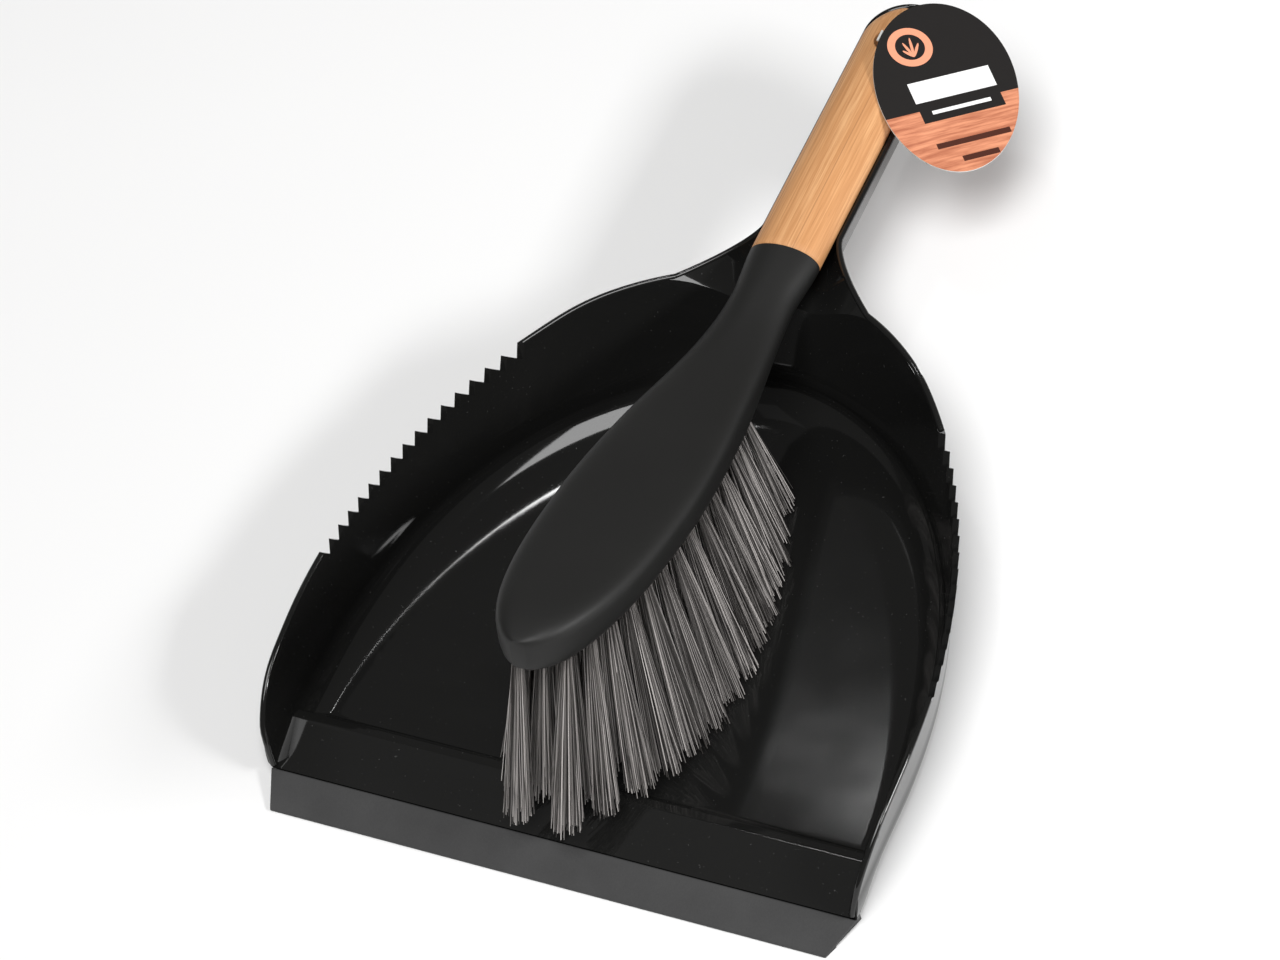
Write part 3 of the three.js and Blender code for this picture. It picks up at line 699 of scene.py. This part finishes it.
tray_part, neck_part = rim_path()
front_part = tray_part[tray_part[:, 1] < TOOTH_START_Y]
back_right = np.vstack([tray_part[tray_part[:, 1] > TOOTH_END_Y], neck_part])
back_rim = np.vstack([back_right, (back_right * (-1, 1, 1))[-2::-1]])
drop_bead = np.array([0, 0, BEAD_DROP])
beads = [sweep("bead_back", back_rim - drop_bead, BEAD_RADIUS),
         sweep("bead_right", front_part - drop_bead, BEAD_RADIUS),
         sweep("bead_left", front_part * (-1, 1, 1) - drop_bead, BEAD_RADIUS)]
print("bead path:", len(back_rim), "points")

# %% [markdown]
# Behind the sweeping edge the pan climbs a low ramp and steps down to its floor, which
# keeps the dust in. Its side view is carried across, then trimmed to the tray's outline.

# %% Pan shell
LIP_TIP, LIP_SKIN, LIP_HOOK, RAMP_START = 0.9, 1.2, 5.0, 3.9
CREST_Y, CREST_HEIGHT, CREST_FLAT, CREST_FALL, RAMP_FOOT, LIP_FLARE = 34.5, 10.0, 3.6, 1.1, 8.0, 6.0
CREST_ROUND, BACK_ROUND, FOOT_ROUND = 1.2, 0.9, 2.2
HANG_HOLE_RADIUS, HANG_HOLE_Y = 5.0, 351.0


def front_plan(name, half_front, half_back, y1, z1):
    plan = [(-half_front, 0), (half_front, 0), (half_back, y1), (-half_back, y1)]
    return loft(name, [[(x, y, z) for x, y in plan] for z in (-1, z1)])


def ramp_profile():
    foot = CREST_Y + RAMP_FOOT
    tongue_top = RAMP_START - LIP_SKIN - SEAM
    tongue_front = LIP_HOOK + SEAM
    fall = math.atan2(CREST_FALL, CREST_FLAT)
    crest = [(CREST_Y - 0.3 + CREST_ROUND * math.sin(t),
              CREST_HEIGHT - CREST_ROUND + CREST_ROUND * math.cos(t))
             for t in np.linspace(math.radians(-17), fall, 7)]
    back = (CREST_Y + CREST_FLAT, CREST_HEIGHT - CREST_FALL)
    turn = math.atan2(back[1] - WALL - 0.7, RAMP_FOOT - 1 - CREST_FLAT)
    crest += [(back[0] - 0.8 + BACK_ROUND * math.sin(t), back[1] - 0.7 + BACK_ROUND * math.cos(t))
              for t in np.linspace(fall, turn, 6)]
    step = [(foot + 1.2 - FOOT_ROUND * math.sin(t), WALL + FOOT_ROUND * (1 - math.cos(t)))
            for t in np.linspace(turn, 0, 7)]
    return [(tongue_front, 0), (tongue_front, LIP_TIP - 0.45), (LIP_DEPTH + SEAM, tongue_top),
            (LIP_DEPTH + SEAM, RAMP_START), *crest, *step, (foot + 5, WALL), (foot + 5, 0),
            (foot - 2, 0), (LIP_DEPTH + 2, 0)]


def build_pan():
    outer = loft("pan_body", tray_rings(WALL, LIP_DEPTH + SEAM, ABOVE_RIM))
    hollow = loft("hollow", tray_rings(0, -FAR, ABOVE_RIM + 1))
    channel = channel_solid("channel", 0, CHANNEL_FLOOR - WALL, ABOVE_RIM)
    channel_hollow = channel_solid("channel_hollow", WALL, CHANNEL_FLOOR, ABOVE_RIM + 1)
    plan = front_plan("plan", LIP_WIDTH / 2 - SEAM, LIP_WIDTH / 2 + LIP_FLARE,
                      LIP_DEPTH + 3, CREST_HEIGHT)
    combine(plan, "UNION", loft("tray_again", tray_rings(WALL, LIP_DEPTH + SEAM, ABOVE_RIM)))
    ramp = combine(across("ramp", ramp_profile(), BODY_WIDTH / 2), "INTERSECT", plan)
    foot = CREST_Y + RAMP_FOOT
    under = [(LIP_DEPTH + 2, 0), (CREST_Y - 0.8, CREST_HEIGHT - WALL - 0.4), (foot - 2, 0),
             (foot - 2, -1), (LIP_DEPTH + 2, -1)]
    combine(outer, "UNION", channel)
    combine(outer, "DIFFERENCE", hollow, channel_hollow)
    combine(outer, "UNION", ramp)
    combine(outer, "DIFFERENCE", across("under", under, FLOOR_WIDTH / 2 + 2), above_rim("trim"),
            upright("hole", HANG_HOLE_RADIUS, HANG_HOLE_Y, CHANNEL_FLOOR - FAR, CHANNEL_FLOOR + 1))
    return combine(outer, "UNION", *beads)


pan_body = build_pan()
smooth_with_edges(pan_body, 32)
hand_over(pan_body, gloss_black(), "pan", "pan_plastic", "pan_shell")
print("pan:", len(pan_body.data.polygons), "faces")

# %% [markdown]
# ## The sweeping edge
#
# The lip is moulded on to the front of the pan in soft rubber. It tapers to a thin edge that
# rests on the floor. Its upper edges are slightly bevelled.

# %% Rubber lip
def build_lip():
    profile = [(0, 0), (0, LIP_TIP * 0.6), (0.5, LIP_TIP), (LIP_DEPTH - 0.5, RAMP_START - 0.05),
               (LIP_DEPTH, RAMP_START - 0.35), (LIP_DEPTH, RAMP_START - LIP_SKIN),
               (LIP_HOOK, LIP_TIP - 0.1), (LIP_HOOK, 0)]
    strip = across("rubber_edge", profile, BODY_WIDTH / 2)
    plan = front_plan("lip_plan", LIP_WIDTH / 2, LIP_WIDTH / 2 + LIP_FLARE, LIP_DEPTH, CREST_HEIGHT)
    return combine(strip, "INTERSECT", plan)


rubber_edge = build_lip()
hand_over(rubber_edge, lip_rubber(), "pan", "lip_rubber", "rubber_lip")
print("lip:", len(rubber_edge.data.polygons), "faces")

# %% [markdown]
# ## The brush head
#
# A soft cover wraps a stiff block. Both are lofts of rounded sections along an axis that
# starts level in the handle and then rises towards the front, so that the long bristles
# clear the floor of the pan.

# %% Brush axis and sections
FERRULE_Y, HANDLE_Z = 247.0, 50.5
BAMBOO_LENGTH, BAMBOO_WIDTH, BAMBOO_THICKNESS, BAMBOO_END_ROUND = 123.0, 28.0, 18.0, 14.0
HEAD_LENGTH, HEAD_WIDTH, HEAD_PITCH, BEND_START, BEND_END = 218.0, 50.0, 14.2, 25.0, 75.0
NECK_WIDTH, COVER_SKIN, BLOCK_OPEN_START, WIDEST = 24.5, 1.8, 50.0, 136.0
HEAD_BACK, TIP_ROUND, NOSE_ROUND, NOSE_SHARE = 10.5, 24.0, 13.0, 0.5
TENON_RADIUS, TENON_LENGTH, TENON_PLAY = 6.5, 28.0, 0.3
NECK_NARROWS_TO, HEAD_SWELLS_FROM, SWELL_POWER, NOSE_POWER = 22.0, 18.0, 0.85, 2.6
AXIS_STEPS, HEAD_RINGS, HEAD_AROUND, TENON_SIDES = 240, 64, 72, 40


def brush_axis():
    rows = [(0.0, FERRULE_Y, HANDLE_Z, 0.0)]
    step = HEAD_LENGTH / AXIS_STEPS
    for i in range(1, AXIS_STEPS + 1):
        s = step * i
        _, y, z, before = rows[-1]
        pitch = math.radians(HEAD_PITCH) * min(max((s - BEND_START) / (BEND_END - BEND_START), 0), 1)
        middle = (pitch + before) / 2
        rows.append((s, y - step * math.cos(middle), z + step * math.sin(middle), pitch))
    return np.array(rows)


AXIS = brush_axis()


def axis_at(s):
    return [float(np.interp(s, AXIS[:, 0], AXIS[:, k])) for k in (1, 2, 3)]


def head_half_width(s):
    neck = lerp(BAMBOO_WIDTH, NECK_WIDTH, smooth(s, 0, NECK_NARROWS_TO)) / 2
    if s <= WIDEST:
        return lerp(neck, HEAD_WIDTH / 2, smooth(s, HEAD_SWELLS_FROM, WIDEST) ** SWELL_POWER)
    t = (s - WIDEST) / (HEAD_LENGTH - WIDEST)
    return HEAD_WIDTH / 2 * math.sqrt(max(0, 1 - t ** NOSE_POWER))


def head_up(s):
    t = min(max((s - (HEAD_LENGTH - TIP_ROUND)) / TIP_ROUND, 0), 1)
    return BAMBOO_THICKNESS / 2 * (0.5 + 0.5 * math.sqrt(1 - t * t))


def head_down(s):
    t = min(max((s - (HEAD_LENGTH - NOSE_ROUND)) / NOSE_ROUND, 0), 1)
    nose = lerp(NOSE_SHARE, 1, math.sqrt(1 - t * t))
    return lerp(BAMBOO_THICKNESS / 2, HEAD_BACK, smooth(s, BEND_START, BEND_END)) * nose


def head_ring(s, inset=0.0, open_below=0.0):
    y, z, pitch = axis_at(s)
    half = max(head_half_width(s) - inset, 0.4)
    up = head_up(s) - inset
    bare = smooth(s, BLOCK_OPEN_START - 4, BLOCK_OPEN_START)
    down = head_down(s) - inset * (1 - bare) + open_below * bare
    power = 2 / lerp(2, 3.6, smooth(s, 30, 95))
    ring = []
    for turn in full_turn(HEAD_AROUND):
        c, v = math.cos(turn), math.sin(turn)
        x = half * math.copysign(abs(c) ** power, c)
        h = (up if v >= 0 else down) * math.copysign(abs(v) ** power, v)
        ring.append((x, y + h * math.sin(pitch), z + h * math.cos(pitch)))
    return ring


def head_loft(name, start, end, **options):
    stations = [*np.linspace(start, end, HEAD_RINGS),
                *(end - d for d in (2.4, 1.6, 1.0, 0.6, 0.3, 0.12))]
    return loft(name, [head_ring(s, **options) for s in sorted(stations)])


print("head:", round(axis_at(HEAD_LENGTH)[1], 1), "mm high at its tip")

# %% Soft cover and block
TIP_END = HEAD_LENGTH - 0.4
NECK_BOTTOM = HANDLE_Z - BAMBOO_THICKNESS / 2
SCREW_Y, SCREW_SHANK, SCREW_HEAD, SCREW_PLAY, SCREW_LENGTH = FERRULE_Y - 15, 1.4, 3.0, 0.35, 13.0


def tenon(name, radius, length):
    return loft(name, [[(radius * math.cos(t), y, HANDLE_Z + radius * math.sin(t))
                        for t in full_turn(TENON_SIDES)]
                       for y in (FERRULE_Y - length + 2 * SEAM, FERRULE_Y + 2 * SEAM)])


def build_cover():
    cover = head_loft("soft_grip", 0, TIP_END)
    cavity = head_loft("cavity", COVER_SKIN, HEAD_LENGTH - 0.8 - COVER_SKIN,
                       inset=COVER_SKIN, open_below=6)
    combine(cover, "DIFFERENCE", cavity, tenon("socket", TENON_RADIUS + TENON_PLAY, TENON_LENGTH),
            upright("head_hole", SCREW_HEAD + SCREW_PLAY, SCREW_Y, NECK_BOTTOM - 4,
                    NECK_BOTTOM + COVER_SKIN + SEAM))
    return cover


def build_block():
    inset = COVER_SKIN + SEAM
    block = head_loft("bristle_block", inset, HEAD_LENGTH - 0.8 - inset, inset=inset)
    combine(block, "DIFFERENCE", tenon("bore", TENON_RADIUS + TENON_PLAY, TENON_LENGTH + 1.5),
            upright("shank_hole", SCREW_SHANK + SCREW_PLAY, SCREW_Y, NECK_BOTTOM - 1, HANDLE_Z))
    return block


soft_grip = build_cover()
smooth_with_edges(soft_grip, 40)
hand_over(soft_grip, soft_touch(), "brush", "soft_touch_cover", "soft_cover")
bristle_block = build_block()
smooth_with_edges(bristle_block, 40)
hand_over(bristle_block, block_plastic(), "brush", "block_plastic", "brush_block")
print("cover:", len(soft_grip.data.polygons), "faces; block:", len(bristle_block.data.polygons))

# %% [markdown]
# ## The bamboo handle
#
# The handle is an oval bar with a rounded end, a tenon that goes into the head, and a
# hanging hole. The hole is cut with a tool that flares at both mouths, which breaks its edges.

# %% Bamboo handle
HOLE_BREAK, BAR_AROUND, END_RINGS = 1.0, 96, 18


def hole_cutter():
    top, bottom = HANDLE_Z + BAMBOO_THICKNESS / 2, NECK_BOTTOM
    sections = [(bottom - 6, HANG_HOLE_RADIUS + 6), (bottom + HOLE_BREAK, HANG_HOLE_RADIUS)]
    for t in np.linspace(0, 1, 6)[1:-1]:
        sections.insert(1, (bottom + HOLE_BREAK * (1 - t), HANG_HOLE_RADIUS + HOLE_BREAK * t * t))
    sections = sections[:1] + sorted(sections[1:])
    upper = [(top + bottom - z, r) for z, r in sections][::-1]
    return loft("hole_cutter", [[(r * math.cos(t), HANG_HOLE_Y + r * math.sin(t), z)
                                 for t in full_turn(HOLE_SIDES)] for z, r in sections + upper])


def build_bamboo():
    round_start = BAMBOO_LENGTH - BAMBOO_END_ROUND
    stations = [SEAM, SEAM + 0.25, SEAM + 0.6, *np.linspace(4, round_start, 24)]
    stations += [round_start + BAMBOO_END_ROUND * math.sin(math.pi / 2 * i / (END_RINGS + 0.3))
                 for i in range(1, END_RINGS + 1)]
    rings = []
    for s in stations:
        t = max(0.0, (s - round_start) / BAMBOO_END_ROUND)
        ease = 0.35 * (1 - smooth(s, SEAM, SEAM + 0.6))
        half = BAMBOO_WIDTH / 2 * math.sqrt(max(0.01, 1 - t * t)) - ease
        up = BAMBOO_THICKNESS / 2 * (0.55 + 0.45 * math.sqrt(1 - t * t)) - ease
        rings.append([(half * math.cos(a), FERRULE_Y + s, HANDLE_Z + up * math.sin(a))
                      for a in full_turn(BAR_AROUND)])
    bar = loft("bamboo_bar", rings)
    combine(bar, "UNION", tenon("peg", TENON_RADIUS, TENON_LENGTH + 0.2))
    return combine(bar, "DIFFERENCE", hole_cutter(),
                   upright("pilot", SCREW_SHANK + SCREW_PLAY, SCREW_Y, NECK_BOTTOM,
                           NECK_BOTTOM + COVER_SKIN + SCREW_LENGTH))


bamboo_bar = build_bamboo()
smooth_with_edges(bamboo_bar, 45)
hand_over(bamboo_bar, bamboo_board(), "brush", "bamboo", "bamboo_handle")
for node_name, finish_made in (("handle_screw", zinc_steel()), ("tag_pin", clear_nylon())):
    nodes[node_name].data.materials.clear()
    nodes[node_name].data.materials.append(finish_made)
print("bamboo:", len(bamboo_bar.data.polygons), "faces")

# %% [markdown]
# ## The bristles
#
# A tuft is a bundle of stiff filaments that fans out towards its tip. One Geometry Nodes
# tree copies each tuft's point many times, lays a short curve from a random place in the
# root to a place further out at the tip, and sweeps a thin profile along all of them.

# %% Where the tufts stand
def tuft_line(node):
    """Root and tip of a tuft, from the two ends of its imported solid."""
    points = np.array([v.co for v in node.data.vertices])
    middle = (points[:, 2].min() + points[:, 2].max()) / 2
    ends = []
    for part in (points[points[:, 2] > middle], points[points[:, 2] <= middle]):
        ends.append(np.unique(np.round(part, 6), axis=0).mean(axis=0))
    return ends


tuft_names = sorted(n for n in nodes if n.startswith("tuft_"))
tufts = {name: tuft_line(nodes[name]) for name in tuft_names}
print("tufts:", len(tufts))

# %% Filament tree
TUFT_SIZES = {"Filaments": 96, "Radius": 0.00017, "Root spread": 0.0019, "Tip spread": 0.0056,
              "Sway": 0.0008, "Ragged": 0.005}


def filament_tree():
    tree = bpy.data.node_groups.new("filaments", "GeometryNodeTree")
    face = tree.interface
    face.new_socket("Geometry", in_out="INPUT", socket_type="NodeSocketGeometry")
    for label, size in {**TUFT_SIZES, "Seed": 1}.items():
        kind = "NodeSocketInt" if isinstance(size, int) else "NodeSocketFloat"
        face.new_socket(label, in_out="INPUT", socket_type=kind).default_value = size
    face.new_socket("Material", in_out="INPUT", socket_type="NodeSocketMaterial")
    face.new_socket("Geometry", in_out="OUTPUT", socket_type="NodeSocketGeometry")

    def make(kind, settings=None, **links):
        node = tree.nodes.new(kind)
        for label, setting in (settings or {}).items():
            setattr(node, label, setting)
        for label, item in links.items():
            numbered = label[1:].isdigit()
            entry = node.inputs[int(label[1:]) if numbered else label.replace("_", " ")]
            if isinstance(item, bpy.types.NodeSocket):
                tree.links.new(item, entry)
            else:
                entry.default_value = item
        return node

    def vector_math(operation, a, b):
        return make("ShaderNodeVectorMath", {"operation": operation}, i0=a, i1=b).outputs[0]

    def scaled(vector, factor):
        return make("ShaderNodeVectorMath", {"operation": "SCALE"}, i0=vector, Scale=factor).outputs[0]

    def maths(operation, a, b):
        return make("ShaderNodeMath", {"operation": operation}, i0=a, i1=b).outputs[0]

    given = make("NodeGroupInput").outputs
    seeds = iter(range(1, 40))

    def chance(low, high):
        seed = maths("ADD", given["Seed"], float(next(seeds)))
        node = make("FunctionNodeRandomValue", {"data_type": "FLOAT"}, Seed=seed)
        node.inputs[2].default_value, node.inputs[3].default_value = low, high
        return node.outputs[1]

    def sideways():
        return make("ShaderNodeCombineXYZ", None, X=chance(-1, 1), Y=chance(-1, 1), Z=0.0).outputs[0]

    copies = make("GeometryNodeDuplicateElements", {"domain": "POINT"},
                  Geometry=given["Geometry"], Amount=given["Filaments"]).outputs[0]
    turn = chance(0.0, 2 * math.pi)
    reach = maths("POWER", chance(0.0, 1.0), 0.5)
    disc = scaled(make("ShaderNodeCombineXYZ", None, X=maths("COSINE", turn, 0.0),
                       Y=maths("SINE", turn, 0.0)).outputs[0], reach)
    aim = make("GeometryNodeInputNamedAttribute", {"data_type": "FLOAT_VECTOR"}, Name="aim").outputs[0]
    here = make("GeometryNodeInputPosition").outputs[0]
    root = vector_math("ADD", here, scaled(disc, given["Root spread"]))
    loose = sideways()
    tip = vector_math("ADD", vector_math("ADD", here, aim), scaled(disc, given["Tip spread"]))
    tip = vector_math("ADD", tip, scaled(loose, given["Sway"]))
    lift = maths("MULTIPLY", maths("POWER", chance(0.0, 1.0), 2.5), given["Ragged"])
    tip = vector_math("ADD", tip, make("ShaderNodeCombineXYZ", None, Z=lift).outputs[0])
    bow = scaled(sideways(), given["Sway"])
    stored = copies
    for label, kind, item in (("root_at", "FLOAT_VECTOR", root), ("tip_at", "FLOAT_VECTOR", tip),
                              ("bow", "FLOAT_VECTOR", bow), ("tone", "FLOAT", chance(0.0, 1.0))):
        node = make("GeometryNodeStoreNamedAttribute", {"data_type": kind, "domain": "POINT"},
                    Geometry=stored, Name=label)
        tree.links.new(item, node.inputs["Value"])
        stored = node.outputs[0]
    line = make("GeometryNodeCurvePrimitiveLine").outputs[0]
    line = make("GeometryNodeResampleCurve", None, Curve=line, Count=5).outputs[0]
    placed_lines = make("GeometryNodeInstanceOnPoints", None, Points=stored, Instance=line).outputs[0]
    real = make("GeometryNodeRealizeInstances", None, Geometry=placed_lines).outputs[0]

    def read(label, kind="FLOAT_VECTOR"):
        return make("GeometryNodeInputNamedAttribute", {"data_type": kind}, Name=label).outputs[0]

    along = make("GeometryNodeSplineParameter").outputs[0]
    start, end = read("root_at"), read("tip_at")
    straight = vector_math("ADD", start, scaled(vector_math("SUBTRACT", end, start), along))
    hump = maths("MULTIPLY", maths("MULTIPLY", along, maths("SUBTRACT", 1.0, along)), 3.0)
    shaped = vector_math("ADD", straight, scaled(read("bow"), hump))
    moved = make("GeometryNodeSetPosition", None, Geometry=real, Position=shaped).outputs[0]
    kept = make("GeometryNodeStoreNamedAttribute", {"data_type": "FLOAT", "domain": "POINT"},
                Geometry=moved, Name="along")
    tree.links.new(along, kept.inputs["Value"])
    profile = make("GeometryNodeCurvePrimitiveCircle", None, Resolution=4,
                   Radius=given["Radius"]).outputs[0]
    solid = make("GeometryNodeCurveToMesh", None, Curve=kept.outputs[0], Profile_Curve=profile,
                 Fill_Caps=True).outputs[0]
    solid = make("GeometryNodeSetShadeSmooth", None, Geometry=solid).outputs[0]
    last = make("GeometryNodeSetMaterial", None, Geometry=solid, Material=given["Material"]).outputs[0]
    tree.links.new(last, make("NodeGroupOutput").inputs[0])
    return tree


bristle_tree = filament_tree()
print("filament tree:", len(bristle_tree.nodes), "nodes")

# %% Grow the tufts
def grow_tufts(name, members, sizes):
    mesh = bpy.data.meshes.new(name)
    roots = [tufts[m][0] for m in members]
    mesh.from_pydata([tuple(r) for r in roots], [], [])
    aim = mesh.attributes.new("aim", "FLOAT_VECTOR", "POINT")
    aim.data.foreach_set("vector", np.array([tufts[m][1] - tufts[m][0] for m in members]).ravel())
    bed = bpy.data.objects.new(name, mesh)
    bpy.context.collection.objects.link(bed)
    step = bed.modifiers.new("filaments", "NODES")
    step.node_group = bristle_tree
    for entry in bristle_tree.interface.items_tree:
        if entry.in_out == "INPUT" and entry.name in sizes:
            step[entry.identifier] = sizes[entry.name]
    bpy.context.view_layer.update()
    grown = baked_mesh(bed)
    bed.modifiers.remove(step)
    bed.data = grown
    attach(bed, "brush")
    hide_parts(*members)
    return bed


filament = bristle_filament()
for side, rows, seed in (("left", "12", 7), ("right", "34", 19)):
    members = [n for n in tuft_names if n[len("tuft_row")] in rows]
    bed = grow_tufts(f"bristles_{side}", members, {**TUFT_SIZES, "Seed": seed, "Material": filament})
    print(bed.name, len(bed.data.polygons), "faces,", len(bed.data.materials), "material")

# %% [markdown]
# ## The card tag
#
# The tag is thin egg-shaped card. Its print is drawn with distances on the card's own UV
# map, in millimetres: a black field, a wood field below it, a round leaf badge, and plain
# bars where a label would have its lines. The cut edge stays white.

# %% Tag print
PRINT_RIGHT, PRINT_DOWN = (0.716, 0.698), (0.698, -0.716)
FIELD_LINE = 29.9
BADGE_U, BADGE_V, BADGE_RADIUS = 12.6, 9.8, 8.7
INK_BLACK, INK_WHITE = (0.016, 0.0145, 0.014), (0.86, 0.86, 0.85)
INK_BROWN, INK_SALMON = (0.07, 0.022, 0.014), (0.80, 0.33, 0.20)
PLAIN_BARS = (   # middle along and down, half length and half height, colour
    (25.0, 21.8, 16.6, 4.6, INK_WHITE),
    (25.0, 31.4, 16.6, 4.1, INK_BLACK),
    (25.0, 31.6, 12.0, 0.8, INK_WHITE),
    (24.0, 46.2, 15.0, 1.2, INK_BROWN),
    (24.0, 53.6, 7.4, 1.2, INK_BROWN),
)


def tag_print():
    """Paints the card. r runs along the print's lines and d down them, both in millimetres."""
    finish = Finish("tag_print", (0.02, 0.018, 0.017), 0.5, Specular_IOR_Level=0.15)
    u, v, _ = finish.axes(finish.add("ShaderNodeUVMap", {"uv_map": "card"}))
    r = u * PRINT_RIGHT[0] + v * PRINT_RIGHT[1]
    d = u * PRINT_DOWN[0] + v * PRINT_DOWN[1]
    stretched = finish.add("ShaderNodeCombineXYZ", {}, {"X": r * 0.05, "Y": d * 0.55})
    grain = finish.noise(stretched, 1.0, 4, 0.6)
    wood = finish.mix(((grain - 0.36) * 3.2).clamp(), (0.42, 0.14, 0.075), (0.76, 0.32, 0.18))
    face = finish.mix(d > FIELD_LINE, INK_BLACK, wood)
    for middle_r, middle_d, half_r, half_d, colour in PLAIN_BARS:
        bar = (abs(r - middle_r) < half_r) * (abs(d - middle_d) < half_d)
        face = finish.mix(bar, face, colour)
    bu, bv = u - BADGE_U, v - BADGE_V
    ring = (bu * bu + bv * bv) ** 0.5
    face = finish.mix(ring < BADGE_RADIUS, face, INK_SALMON)
    face = finish.mix(ring < BADGE_RADIUS * 0.66, face, INK_BLACK)
    stem_r = bu * PRINT_RIGHT[0] + bv * PRINT_RIGHT[1]
    stem_d = bu * PRINT_DOWN[0] + bv * PRINT_DOWN[1] - BADGE_RADIUS * 0.52
    for turn, long in ((-42, 2.5), (-17, 3.7), (8, 4.3), (34, 3.3)):
        t = math.radians(turn)
        along = stem_r * math.sin(t) - stem_d * math.cos(t) - long
        beside = stem_r * math.cos(t) + stem_d * math.sin(t)
        leaf = along * along / long ** 2 + beside * beside / 0.3
        face = finish.mix((leaf < 1.0) * (ring < BADGE_RADIUS * 0.62), face, INK_SALMON)
    finish.feed("Base Color", face)
    finish.feed("Roughness", 0.45 + finish.noise(finish.where(), 500, 2) * 0.2)
    return finish.material


def card_edge():
    finish = Finish("card_edge", (0.8, 0.8, 0.78), 0.7)
    fibre = finish.noise(finish.where(), 2500, 2)
    finish.feed("Base Color", finish.mix(fibre, (0.72, 0.72, 0.7), (0.86, 0.86, 0.84)))
    return finish.material


print("tag print ready")

# %% Card tag
TAG_LENGTH, TAG_WIDTH, TAG_THICKNESS, TAG_SLOPE, TAG_TURN = 75.5, 55.0, 0.6, 22.0, -60.0
PIN_X, PIN_TOP_Z, TAG_CENTRE, TAG_CENTRE_Y, TAG_BLUNT = -2.0, 61.5, 31.6, 340.0, 0.03
TAG_PLANE_Z = PIN_TOP_Z + 0.5 + SEAM + TAG_THICKNESS / 2


def build_tag(points=144):
    slope, turn = math.radians(TAG_SLOPE), math.radians(TAG_TURN)
    outline = []
    for a in full_turn(points):
        u, v = TAG_LENGTH / 2 * math.cos(a), TAG_WIDTH / 2 * math.sin(a) * (1 - TAG_BLUNT * math.cos(a))
        outline.append((TAG_CENTRE + u * math.cos(turn) - v * math.sin(turn),
                        u * math.sin(turn) + v * math.cos(turn)))
    rings = []
    for w in (-TAG_THICKNESS / 2, TAG_THICKNESS / 2):
        rings.append([(PIN_X + u * math.cos(slope) + w * math.sin(slope), TAG_CENTRE_Y + v,
                       TAG_PLANE_Z - u * math.sin(slope) + w * math.cos(slope)) for u, v in outline])
    tag = loft("card_tag", rings)
    card = tag.data.uv_layers.new(name="card")
    for face in tag.data.polygons:
        face.material_index = 1 if len(face.vertices) == 4 else 0
        for corner in face.loop_indices:
            card.data[corner].uv = outline[tag.data.loops[corner].vertex_index % points]
    return tag


card_tag = build_tag()
for made in (tag_print(), card_edge()):
    card_tag.data.materials.append(made)
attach(card_tag, "tag")
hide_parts("hang_tag")
print("tag:", len(card_tag.data.polygons), "faces")
